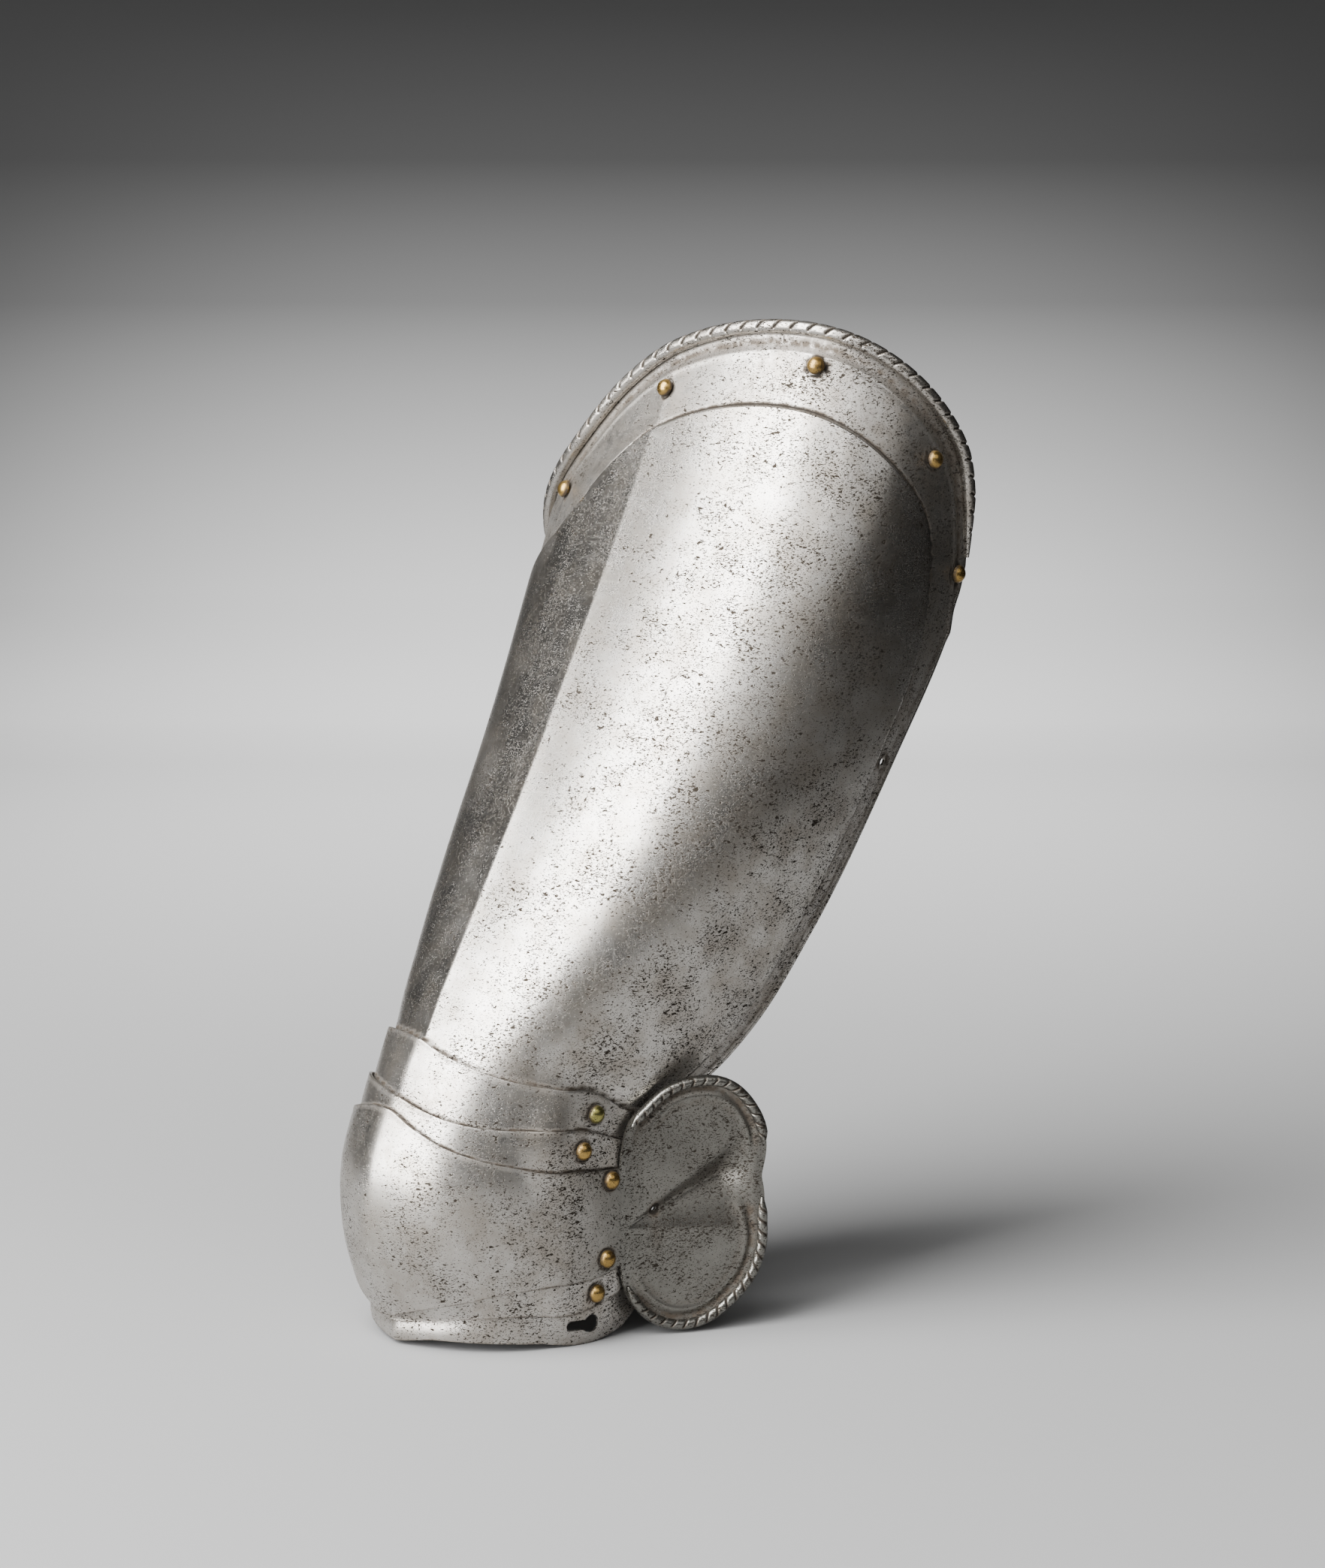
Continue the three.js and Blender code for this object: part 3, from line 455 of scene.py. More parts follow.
outputs = ["Streaks", "Grain"]
polish_marks, given, result, place = new_group("polish_marks", {"Scale": 1}, outputs)
layers = []
for turn_by, stretch in STROKES:
    lines = stretched(polish_marks, place, (turn_by, turn_by / 2, 0), stretch)
    lines = noise_at(polish_marks, lines, given["Scale"], 2)
    layers.append(ramp(polish_marks, lines, 0.55, 0.85))
polish_marks.links.new(largest(polish_marks, *layers), result["Streaks"])
grain_scale = times(polish_marks, given["Scale"], GRAIN_SCALE)
polish_marks.links.new(noise_at(polish_marks, place, grain_scale, 3), result["Grain"])
print("node groups", [g.name for g in bpy.data.node_groups])


# %% [markdown]
# The metals. Colour, roughness and metalness change with the stain and the painted
# shade: clean steel is bright and fairly smooth, and patina is brown, dull and less
# metallic. Pits, black dirt and painted shadow lines are nearly black and dip below
# the surface through a Bump node.

# %% One recipe for every worn metal here
DIRT_AND_SHADOW_COLOUR = (0.035, 0.029, 0.023, 1)
HAZE = 0.07
METAL_LOST = 0.44
# what each mark adds to the roughness, and to the height that the Bump node reads
ROUGHENING = {"brown": 0.34, "cloud": 0.12, "streaks": 0.07, "pits_dirt_and_shadow": 0.4}
RELIEF = {"pits_dirt_and_shadow": -0.45, "grain": 0.05, "streaks": -0.06, "rust": 0.5}
# the marks roughen every place a little, and this takes that off again
SMOOTHER = 0.08


def weighted(tree, marks, weights):
    return total(tree, *[times(tree, marks[name], weight) for name, weight in weights.items()])


def worn_metal(name, colours, rough, pit_amount, film, pit_scale=1):
    """colours: bright and shaded metal, darker metal for painted shade and tarnish, and brown
    stains.
    """
    bright, shade, tarnish_and_shade, stain_colour = [(*colour, 1) for colour in colours]
    darker_tarnish_and_shade = (*[c * 0.8 for c in tarnish_and_shade[:3]], 1)
    material = bpy.data.materials.new(name)
    material.use_nodes = True
    tree = material.node_tree
    shader = tree.nodes["Principled BSDF"]
    stain_and_shade = attribute(tree, "stain_and_shade")
    rust = use_group(tree, rust_pits, Amount=pit_amount, Scale=pit_scale)
    polish = use_group(tree, polish_marks, Scale=1)
    brown = use_group(tree, patina, Amount=film, Stain=stain_and_shade)["Mask"]
    marks = {
        "brown": brown,
        "cloud": noise_at(tree, object_place(tree), 60, 7, 0.65),
        "pits_dirt_and_shadow": largest(tree, rust["Pits"], ramp(tree, stain_and_shade, 1.05, 1.7)),
        "streaks": polish["Streaks"],
        "grain": polish["Grain"],
        "rust": times(tree, brown, polish["Grain"]),
    }
    blend = ramp(tree, marks["cloud"], 0.3, 0.72)
    mottled = mix_colours(tree, blend, bright, shade)
    darker = mix_colours(tree, blend, tarnish_and_shade, darker_tarnish_and_shade)
    # painted shade: the cop's outer side and its wing take the darker colours; on the greenish
    # rivet the same mix is tarnish
    colour = mix_colours(tree, attribute(tree, "tarnish_and_shade"), mottled, darker)
    colour = mix_colours(tree, brown, colour, stain_colour)
    colour = mix_colours(tree, times(tree, rust["Bloom"], HAZE), colour, stain_colour)
    # pits, dirt and painted shadow lines all take this near-black colour
    colour = mix_colours(tree, marks["pits_dirt_and_shadow"], colour, DIRT_AND_SHADOW_COLOUR)
    tree.links.new(colour, shader.inputs["Base Color"])
    roughness = total(tree, weighted(tree, marks, ROUGHENING), rough - SMOOTHER)
    tree.links.new(roughness, shader.inputs["Roughness"])
    metallic = math_node(tree, "SUBTRACT", 1, times(tree, brown, METAL_LOST))
    tree.links.new(metallic, shader.inputs["Metallic"])
    height = weighted(tree, marks, RELIEF)
    inputs = {"Height": height, "Distance": 0.0002, "Strength": 0.6}
    normal = add_node(tree, "ShaderNodeBump", inputs).outputs["Normal"]
    tree.links.new(normal, shader.inputs["Normal"])
    return material


STEEL = worn_metal(
    "polished_steel",
    [(0.49, 0.47, 0.44), (0.34, 0.31, 0.27), (0.22, 0.215, 0.195), (0.08, 0.063, 0.047)],
    rough=0.29,
    pit_amount=0.62,
    film=0.16,
)
INSIDE_STEEL = worn_metal(
    "unpolished_inside",
    [(0.2, 0.18, 0.16), (0.12, 0.1, 0.085), (0.2, 0.18, 0.16), (0.07, 0.042, 0.024)],
    rough=0.5,
    pit_amount=0.7,
    film=0.6,
)
BRASS = worn_metal(
    "rivet_brass",
    [(0.42, 0.275, 0.085), (0.29, 0.18, 0.055), (0.34, 0.31, 0.1), (0.05, 0.035, 0.022)],
    rough=0.28,
    pit_amount=0.1,
    film=0.25,
    pit_scale=2,
)
print("metals", [m.name for m in (STEEL, INSIDE_STEEL, BRASS)])


def dress(piece, finish, body, node):
    """Gives a piece its metals and the body it rides on, and hides the CAD part it stands for."""
    piece.data.materials.append(finish)
    piece.data.materials.append(INSIDE_STEEL)
    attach(piece, body)
    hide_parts(node)


# %% [markdown]
# The lames and the cop are bands bent round the knee. Their outlines come first,
# because a painted shadow on the thigh plate follows the edge of the lame on it.
# The tables give the sections where their low and high edges lie.

# %% Outlines of the knee's bands: turn, low, high
BANDS = {
    "upper_lame_1": [
        (-1.06, 4.75, 6.16),
        (-0.82, 4.35, 6.2),
        (-0.45, 4.1, 6.18),
        (-0.2, 3.98, 6.08),
        (0, 3.98, 5.95),
        (0.13, 3.85, 5.78),
        (0.26, 3.75, 5.69),
        (0.43, 3.85, 5.69),
        (0.66, 4.2, 5.9),
        (0.82, 4.35, 6.15),
        (1.06, 4.75, 6.16),
    ],
    "upper_lame_2": [
        (-1.08, 3.6, 5.45),
        (-0.8, 3.4, 5.35),
        (-0.38, 3.35, 5.14),
        (-0.18, 3.35, 4.92),
        (0, 3.5, 4.71),
        (0.13, 3.3, 4.54),
        (0.26, 3.1, 4.47),
        (0.4, 3, 4.57),
        (0.6, 3.2, 4.88),
        (0.8, 3.4, 5.25),
        (1.08, 3.6, 5.45),
    ],
    "poleyn": [
        (-1.05, -0.13, 4.6),
        (-0.86, -0.06, 4.35),
        (-0.55, 0.4, 4.28),
        (-0.26, 0.46, 4.32),
        (0, 0.12, 4.4),
        (0.13, 0.33, 4.11),
        (0.26, 0.46, 3.87),
        (0.45, 0.52, 3.81),
        (0.65, 0.25, 4.02),
        (0.86, -0.06, 4.28),
        (1.05, -0.13, 4.6),
    ],
    "lower_lame_1": [
        (-1.1, -0.7, 1),
        (-0.8, -0.78, 1.25),
        (-0.32, -0.2, 1.35),
        (0, -0.4, 0.95),
        (0.17, -0.18, 1.2),
        (0.32, -0.2, 1.35),
        (0.5, -0.42, 1.35),
        (0.8, -0.78, 1.25),
        (1.1, -0.7, 1),
    ],
    "lower_lame_2": [
        (-1.2, -1.49, -0.35),
        (-0.88, -1.66, -0.1),
        (-0.33, -1.09, 0.5),
        (0, -1.12, 0.4),
        (0.17, -0.99, 0.6),
        (0.33, -1.09, 0.5),
        (0.6, -1.4, 0.15),
        (0.88, -1.66, -0.1),
        (1.2, -1.49, -0.35),
    ],
}
print("bands", list(BANDS))

# %% [markdown]
# The thigh plate's upper edge is an arch, highest towards the outer side. Along
# it runs a sunken border, 38 mm wide, and a narrow one follows the rear edges.
# Below the roped edge the border has a hollow channel and one soft raised line.

# %% Edges of the thigh plate
ROPE_RADIUS = 3.2
BORDER_WIDTH = 38
REAR_BORDER = 15
BORDER_SINK = 1.8
STEP_WIDTH = 1.7
TUCK = 1.1
TURN_LENGTH = 110 * math.pi / 2
ARCH = np.array(
    [
        [-1.3, 15.9],
        [-1, 17.2],
        [-0.75, 18.3],
        [-0.5, 19.4],
        [-0.25, 20.75],
        [0, 21.6],
        [0.4, 22.28],
        [0.7, 22.38],
        [0.99, 21.73],
        [1.13, 20.98],
        [1.3, 18.9],
    ]
)
REAR_EDGE = np.array(
    [[5, 1.12], [6.2, 1.25], [8, 1.36], [11, 1.34], [15, 1.3], [17.8, 1.295], [20, 1.24]]
)
CUISSE_LOW = np.array(
    [[-1.3, 5.9], [-0.9, 5.3], [-0.3, 4.95], [0, 5.1], [0.3, 4.95], [0.9, 5.3], [1.3, 5.9]]
)
STRAP_TURN, STRAP_AT = 1.251, 14.7
STRAP_HOLE_RADIUS = 1.8


def arch_at(turn):
    return curve(ARCH, 1, turn) - ROPE_RADIUS / STEP


def rear_turn(at):
    return curve(REAR_EDGE, 1, at)


def from_edges(turn, at):
    """Distances to the arch and to the rear edge, across the plate."""
    slope = (arch_at(turn + 0.05) - arch_at(turn - 0.05)) * STEP / (0.1 * TURN_LENGTH)
    down = (arch_at(turn) - at) * STEP / np.hypot(1, slope)
    inward = (rear_turn(at) - np.abs(turn)) * TURN_LENGTH
    return np.maximum(down, 0.01), np.maximum(inward, 0.01)


print("arch rises to section", ARCH[:, 1].max())


# %% Dirt round the rivets
# each lining rivet's turn, and how far it lies below the arch
LINING_RIVETS = [(-1.0, 21), (-0.5, 20.5), (0, 20), (0.585, 16), (0.99, 19.5), (1.22, 19)]
DIRT_RING = 4.8


def pivot_dirt(points):
    dirt = np.zeros(len(points))
    for y, z in PIVOTS:
        off = np.hypot(points[:, 1] - y, points[:, 2] - z)
        dirt += bump(off, DIRT_RING, 0.7) * (np.abs(points[:, 0]) > 40)
    return dirt


def lining_dirt(turn, at):
    dirt = np.zeros_like(at)
    for rivet_turn, below in LINING_RIVETS:
        rivet_at = arch_at(rivet_turn) - below / STEP
        off = np.hypot((turn - rivet_turn) * TURN_LENGTH, (at - rivet_at) * STEP)
        dirt += bump(off, DIRT_RING, 0.8)
    return dirt


# %% Relief of the thigh plate, where it is stained, and its painted shade
def past_step(turn, at):
    """Distance beyond the border's step, negative on the border."""
    down, inward = from_edges(turn, at)
    by_arch = (BORDER_WIDTH / down) ** 4
    by_rear = (REAR_BORDER / inward) ** 4
    share = (by_arch + by_rear) ** -0.25
    return (share - 1) * (BORDER_WIDTH * by_arch + REAR_BORDER * by_rear) / (by_arch + by_rear)


def cuisse_relief(turn, at):
    beyond = past_step(turn, at)
    down, inward = from_edges(turn, at)
    step = soft_step(beyond, -STEP_WIDTH / 2, STEP_WIDTH / 2)
    tucked = TUCK * (1 - soft_step(at, THIGH_START + 0.2, THIGH_START + 1.4))
    height = -BORDER_SINK * (1 - step) - 0.7 * bump(beyond, -STEP_WIDTH * 0.7, 0.7) - tucked
    height += -1.0 * bump(down, 6.8, 2.4) + 0.6 * bump(down, 11.5, 1.5)
    return height + 0.5 * bump(inward, 0, 3.2)


def cuisse_stain_and_shade(turn, at):
    down, inward = from_edges(turn, at)
    beyond = past_step(turn, at)
    # brown in the hollow channel under the rope, and painted shade, black, in the crease at the
    # border's step
    stain_and_shade = 0.75 * bump(down, 6.4, 2.3) + 1.5 * bump(beyond, -1.2, 0.85)
    # round the strap hole: dirt, and painted shade that stands in for the dark hole
    by_strap = np.hypot((turn - STRAP_TURN) * TURN_LENGTH, (at - STRAP_AT) * STEP)
    stain_and_shade += 2.6 * bump(by_strap, 0.8, 2.6) + 0.7 * bump(inward, 4.2, 1.0)
    return stain_and_shade + 0.25 * (beyond < 0) + 1.7 * lining_dirt(turn, at)


# %% Lay the thigh plate
CUISSE_COLUMNS = [0, 0.06, 0.16, 0.3, 0.46, 0.62, 0.76, 0.88, 0.94, 1]
# the shares of the rows where the panel and the border start, and their depths
PANEL_FROM = 0.1
BORDER_FROM = 0.55
KNEE_DEPTH = 1.5
BORDER_DEPTH = 46 / STEP
# how dark the painted shadow is just past the edge of a plate that lies over another
EDGE_SHADOW = 1.6


def cuisse_place(u, v):
    """The width depends on the height and the reverse, so six rounds settle both."""
    across = spread(np.abs(u), CUISSE_COLUMNS) * np.sign(u)
    share = (v + 1) / 2
    turn = 1.28 * across
    for _ in range(6):
        low = curve(CUISSE_LOW, 1, turn)
        panel = low + KNEE_DEPTH
        border = arch_at(turn) - BORDER_DEPTH
        by_knee = low + KNEE_DEPTH * share / PANEL_FROM
        by_panel = panel + (border - panel) * (share - PANEL_FROM) / (BORDER_FROM - PANEL_FROM)
        by_border = border + BORDER_DEPTH * (share - BORDER_FROM) / (1 - BORDER_FROM)
        at = np.where(share < BORDER_FROM, by_panel, by_border)
        at = np.where(share < PANEL_FROM, by_knee, at)
        turn = across * rear_turn(at)
    flat = plate_point(0, turn, at, PLATE + cuisse_relief(turn, at))
    waves = hammering(flat, 36, 0.11, 1) * soft_step(at, 6, 8)
    waves *= soft_step(past_step(turn, at), 0, 8)
    points = flat + leg_normal(turn, at) * waves[:, None]
    # painted shadow: a black line on the thigh plate just below the edge of the lame over it
    lame_edge = curve(np.array(BANDS["upper_lame_1"]), 2, turn)
    shadow_under_lame = EDGE_SHADOW * bump((at - lame_edge) * STEP, 0.4, 1.0)
    return points, cuisse_stain_and_shade(turn, at) + shadow_under_lame


thigh_sheet = lay_grid("thigh_sheet", 196, 172, cuisse_place)
thicken(thigh_sheet)
print("thigh plate", len(thigh_sheet.data.polygons), "faces")

# %% [markdown]
# A roped edge is the sheet's rim turned over a wire and then filed across at a
# slant, so that it looks like a cord. Here it is a grid rolled into a tube, with
# one narrow groove at each pitch. The grooves keep dirt, so they are stained.

# %% Roll a grid into a bead along a line
ROPE_SLANT = 1.5
CUT_STAIN = 9


def close_seam(piece):
    """Joins the edges of a grid that meet, such as the two sides of a disc."""
    only(piece)
    bpy.ops.object.mode_set(mode="EDIT")
    bpy.ops.mesh.select_all(action="SELECT")
    bpy.ops.mesh.remove_doubles(threshold=0.001 * MM)
    bpy.ops.object.mode_set(mode="OBJECT")


def close_tube(piece):
    """Joins a grid's two long edges, fills the ends and turns all faces outward."""
    close_seam(piece)
    bpy.ops.object.mode_set(mode="EDIT")
    bpy.ops.mesh.select_all(action="SELECT")
    bpy.ops.mesh.fill_holes(sides=0)
    bpy.ops.mesh.select_all(action="SELECT")
    bpy.ops.mesh.normals_make_consistent(inside=False)
    bpy.ops.object.mode_set(mode="OBJECT")
    bpy.ops.object.shade_smooth()


def bead_taper(share):
    """A bead thins out towards its two ends."""
    return np.clip(0.3 + 11 * np.minimum(share, 1 - share), 0.3, 1)


def lay_bead(name, line, sides, step_mm, radius, groove):
    """line gives points, outward and beyond directions for shares of the length."""
    shares = np.linspace(0, 1, 400)
    runs = np.linalg.norm(np.diff(line(shares)[0], axis=0), axis=1)
    runs = np.concatenate([[0], np.cumsum(runs)])
    length = runs[-1]
    columns = int(length / step_mm)

    def place(u, v):
        run = (u + 1) / 2 * length
        turn = (v + 1) * math.pi
        share = np.interp(run, runs, shares)
        point, out, beyond = line(share)
        cut = groove(run, turn, run / length)
        reach = (radius * (1 - cut) * bead_taper(run / length))[:, None]
        points = point + out * reach * np.sin(turn)[:, None]
        return points + beyond * reach * np.cos(turn)[:, None], cut * CUT_STAIN

    piece = lay_grid(name, columns, sides, place)
    close_tube(piece)
    print(name, round(length), "mm long,", len(piece.data.polygons), "faces")
    return piece


def rope_groove(pitch, depth, width):
    """Slanted cuts across the side of the bead that faces out and beyond the edge."""

    def groove(run, turn, share):
        signed = (turn + math.pi) % (2 * math.pi) - math.pi
        phase = run / pitch + ROPE_SLANT * signed / (2 * math.pi)
        off = np.abs(phase - np.round(phase))
        ends = soft_step(np.minimum(share, 1 - share), 0, 0.03)
        filed = soft_step(np.cos(signed - 0.85), 0.1, 0.4)
        return depth * bump(off, 0, width) * ends * filed

    return groove


def plain(run, turn, share):
    """A bead without cuts."""
    return np.zeros_like(run)


def edge_line(place, full_lift):
    """Line for a bead along an edge of the thigh plate."""

    def line(share):
        step = 0.004
        turn, at = place(share)
        lift = PLATE / 2 + (full_lift - PLATE / 2) * bead_taper(share)
        point = plate_point(0, turn, at, lift + cuisse_relief(turn, at))
        before = plate_point(0, *place(share - step), lift)
        after = plate_point(0, *place(share + step), lift)
        along = after - before
        along /= np.linalg.norm(along, axis=1, keepdims=True)
        out = leg_normal(turn, at)
        beyond = np.cross(out, along)
        return point, out, beyond

    return line


# %% The thigh plate's roped edge and its plain rear rolls
ARCH_ENDS = (-1.275, 1.25)
ROLL_START = 5.75
ROLL_ENDS = {1: 1.26, -1: -1.28}
ROPE_LIFT = PLATE / 2 + ROPE_RADIUS * 0.7 + 0.9
ROLL_LIFT = PLATE / 2 - 0.1
ROLL_RADIUS = 1.3


def arch_place(share):
    turn = ARCH_ENDS[0] + (ARCH_ENDS[1] - ARCH_ENDS[0]) * share
    return turn, arch_at(turn)


def rear_place(side):
    def place(share):
        at = ROLL_START + (arch_at(ROLL_ENDS[side]) - ROLL_START) * share
        return side * rear_turn(at), at

    return place


rope_line = edge_line(arch_place, ROPE_LIFT)
rope_cuts = rope_groove(pitch=8.4, depth=0.36, width=0.075)
thigh_rope = lay_bead("thigh_rope", rope_line, 24, 0.24, ROPE_RADIUS, rope_cuts)
rear_rolls = []
for name, side in (("outer", 1), ("inner", -1)):
    roll_line = edge_line(rear_place(side), ROLL_LIFT)
    rear_rolls.append(lay_bead(f"thigh_roll_{name}", roll_line, 12, 2, ROLL_RADIUS, plain))

# %% [markdown]
# Holes are cut last, with a boolean against a cylinder that is then deleted. The
# strap hole lies in the outer rear border.

# %% Cut a hole
def facing(direction):
    """A turn that points Z along a direction."""
    return Vector(direction).to_track_quat("Z", "Y").to_matrix().to_4x4()


def round_cutter(radius, point, direction, length=14):
    bpy.ops.object.select_all(action="DESELECT")
    bpy.ops.mesh.primitive_cylinder_add(vertices=28, radius=radius * MM, depth=length * MM)
    cutter = bpy.context.object
    cutter.matrix_world = Matrix.Translation(Vector((point - SEAT) * MM)) @ facing(direction)
    return cutter


def plate_cutter(radius, layer, turn, at):
    point = plate_point(layer, np.array(turn), np.array(at), 0)
    return round_cutter(radius, point, leg_normal(turn, at))


def cut_with(piece, cutter):
    hole = piece.modifiers.new("hole", "BOOLEAN")
    hole.operation = "DIFFERENCE"
    hole.solver = "EXACT"
    hole.object = cutter
    bpy.context.view_layer.update()
    apply_modifiers(piece)
    bpy.data.objects.remove(cutter)


cut_with(thigh_sheet, plate_cutter(STRAP_HOLE_RADIUS, 0, STRAP_TURN, STRAP_AT))
for piece in (thigh_sheet, thigh_rope, *rear_rolls):
    dress(piece, STEEL, "thigh_plate", "cuisse")
print("thigh plate with its hole", len(thigh_sheet.data.polygons), "faces")

# %% [markdown]
# Each band lies in its own layer, so that they slide over one another. Hidden
# edges are drawn in, as they are on the real ones, so that they never catch on
# the plate above. A painted shadow lies on a band just past the edge that covers
# it, and painted shade darkens the band's own edges.

# %% Layers, tucked edges and corners of the bands
LAYERS = {"upper_lame_1": 1, "upper_lame_2": 2, "poleyn": 3, "lower_lame_1": 2, "lower_lame_2": 1}
HIDDEN_EDGE = {
    "upper_lame_1": "low",
    "upper_lame_2": "low",
    "lower_lame_1": "high",
    "lower_lame_2": "high",
}
LAME_TUCK = 1.5
# the cover, the column of its edge, and the way past it
COVERED_BY = {
    "upper_lame_1": ("upper_lame_2", 2, 1),
    "upper_lame_2": ("poleyn", 2, 1),
    "lower_lame_1": ("poleyn", 1, -1),
    "lower_lame_2": ("lower_lame_1", 1, -1),
}
CORNERS = {"upper_lame_1": 0.02, "upper_lame_2": 0.0, "poleyn": 0.0}
BODIES = {name: name for name in BANDS} | {"poleyn": "knee_cop"}
BAND_COLUMNS = [0, 0.1, 0.24, 0.42, 0.6, 0.78, 0.9, 1]
UPPER_WIDER = 1.04
print("layers", LAYERS)


# %% Bend the bands
def band_place(name, seed):
    table = np.array(BANDS[name], float)
    end = table[-1, 0] * (UPPER_WIDER if name.startswith("upper") else 1)

    def place(u, v):
        turn = end * spread(np.abs(u), BAND_COLUMNS) * np.sign(u)
        share = (v + 1) / 2
        rounding = CORNERS.get(name, 0.08) * np.abs(v) ** 4 * np.abs(turn / end) ** 8
        turn = turn * (1 - rounding)
        low, high = curve(table, 1, turn), curve(table, 2, turn)
        at = low * (1 - share) + high * share
        hidden = {"low": 1 - share, "high": share}.get(HIDDEN_EDGE.get(name), 0 * share)
        ahead = np.maximum(np.cos(turn * math.pi / 2), 0)
        height = PLATE - LAME_TUCK * soft_step(hidden, 0.45, 1) * ahead**2
        points = plate_point(LAYERS[name], turn, at, height)
        waves = hammering(points, 22, 0.14, seed) * (1 - flatness(points[:, 1], points[:, 2]))
        points = points + leg_normal(turn, at) * waves[:, None]
        from_low, from_high = share * (high - low) * STEP, (1 - share) * (high - low) * STEP
        # painted shade: dark lines along the band's low edge and just inside its high edge
        stain_and_shade = 0.9 * bump(from_low, 0, 0.8) + 0.35 * bump(from_high, 1.3, 0.8)
        # painted shadow just past the edge of the band that covers this one
        if name in COVERED_BY:
            cover, edge, way = COVERED_BY[name]
            past = (at - curve(np.array(BANDS[cover]), edge, turn)) * STEP * way
            stain_and_shade += EDGE_SHADOW * bump(past, 0.3, 0.8)
        return points, stain_and_shade + 0.08 + 1.7 * pivot_dirt(points)

    return place


def paint_shade_towards_wing(piece):
    """Painted shade: the cop darkens towards its wing, 0 in front and 1 on the wing."""
    corners = corners_of(piece) / MM + SEAT
    outer = soft_step(corners[:, 0], 20, 50)
    set_attribute(piece, "tarnish_and_shade", outer * soft_step(corners[:, 1], -45, 14))


bands = {}
for seed, name in enumerate(BANDS, start=2):
    rows = 96 if name == "poleyn" else 36
    bands[name] = lay_grid(f"band_{name}", 150, rows, band_place(name, seed))
    thicken(bands[name])
    print(name, len(bands[name].data.polygons), "faces")
paint_shade_towards_wing(bands["poleyn"])

# %% [markdown]
# The turning pin of the greave locked into a keyhole in the lowest lame. Its
# edge is rough from rust, so the cutter's outline is made uneven.

# %% Keyhole
KEYHOLE_START = (0.87, -1.2)
KEYHOLE_RUN = (-0.12, 0.13)
KEYHOLE_CUTS = 9
KEYHOLE_HEAD = 4.3
KEYHOLE_SLOT = 2.4
RAGGEDNESS = 0.16

for number in range(KEYHOLE_CUTS):
    share = number / (KEYHOLE_CUTS - 1)
    turn, at = (start + run * share for start, run in zip(KEYHOLE_START, KEYHOLE_RUN))
    cutter = plate_cutter(KEYHOLE_SLOT if number else KEYHOLE_HEAD, 1, turn, at)
    for vertex in cutter.data.vertices:
        wobble = 1 + RAGGEDNESS * noise.noise(vertex.co * 500 + Vector((number * 3, 0, 0)))
        vertex.co.x *= wobble
        vertex.co.y *= wobble
    cut_with(bands["lower_lame_2"], cutter)
for name, band in bands.items():
    dress(band, STEEL, BODIES[name], name)
print("lower_lame_2 with its keyhole", len(bands["lower_lame_2"].data.polygons), "faces")

# %% [markdown]
# The wing grows out of the cop's outer side and guards the hollow of the knee.
# It is heart-shaped, with a V-shaped pucker between its two lobes, which was
# pinched into the hot plate. A polar grid fits it: u runs round the rim, and v
# from the middle to the rim. The root lies on the cop's side without a step.

# %% Wing outline and form
WING_REACH = 62
WING_HALF = 59
WING_FLARE = 28
WING_SEAT = 0.4
WING_ROPE_RADIUS = 2.4
# degrees from straight back, and the rim's distance as a share of WING_HALF
WING_OUTLINE = np.array(
    [(-180, 0.525), (-160, 0.56), (-140, 0.69), (-125, 0.82), (-110, 0.935), (-97, 0.985)]
    + [(-85, 0.965), (-70, 0.865), (-52, 0.75), (-37, 0.655), (-20, 0.567), (-5, 0.535)]
    + [(10, 0.535), (22, 0.555), (40, 0.71), (56, 0.863), (73, 0.998), (86, 1.005)]
    + [(100, 0.95), (112, 0.865), (123, 0.815), (137, 0.7), (160, 0.56), (180, 0.525)],
    float,
)
HOLE_BACK = 0.26 * WING_REACH
HOLE_UP = 0.1 * WING_HALF
HOLE_RADIUS = 1.1
WING_MIDDLE = (WING_REACH * 0.484, WING_HALF * 0.12)
WING_ROOT = KNEE_REACH * 0.07
COP_INSIDE = KNEE_HALF + LAYERS["poleyn"] * (PLATE + SIDE_GAP)
PUCKER_DEPTH = 0.19


def pucker(back, up):
    """Depth of the V: a fold at its lower side, a steep wall at its upper side."""
    run = np.maximum(back - WING_REACH * 0.03, 0.001)
    angle = np.degrees(np.arctan2(up + 1.5, run))
    floor = np.clip((angle + 5) / 29, 0, 1) ** 1.3
    wall = 1 - soft_step(angle, 21, 41)
    to_rim = 1 - soft_step(back, 46, 58)
    return PUCKER_DEPTH * np.hypot(run, up) * floor * wall * to_rim


def wing_point(back, up, height):
    share = np.maximum(back, 0) / WING_REACH
    flare = WING_FLARE * (np.sqrt(share**2 + 0.03) - math.sqrt(0.03)) * 1.19
    x = COP_INSIDE + WING_SEAT + flare - pucker(back, up) + height
    return np.stack([x, WING_ROOT + back, up + 0 * back], -1)


def wing_rim(angle, ring):
    reach = WING_HALF * curve(WING_OUTLINE, 1, angle) * ring
    turned = np.radians(angle)
    return WING_MIDDLE[0] + reach * np.cos(turned), WING_MIDDLE[1] + reach * np.sin(turned)


print("wing's upper lobe reaches", round(WING_MIDDLE[1] + WING_HALF, 1), "mm above the knee")


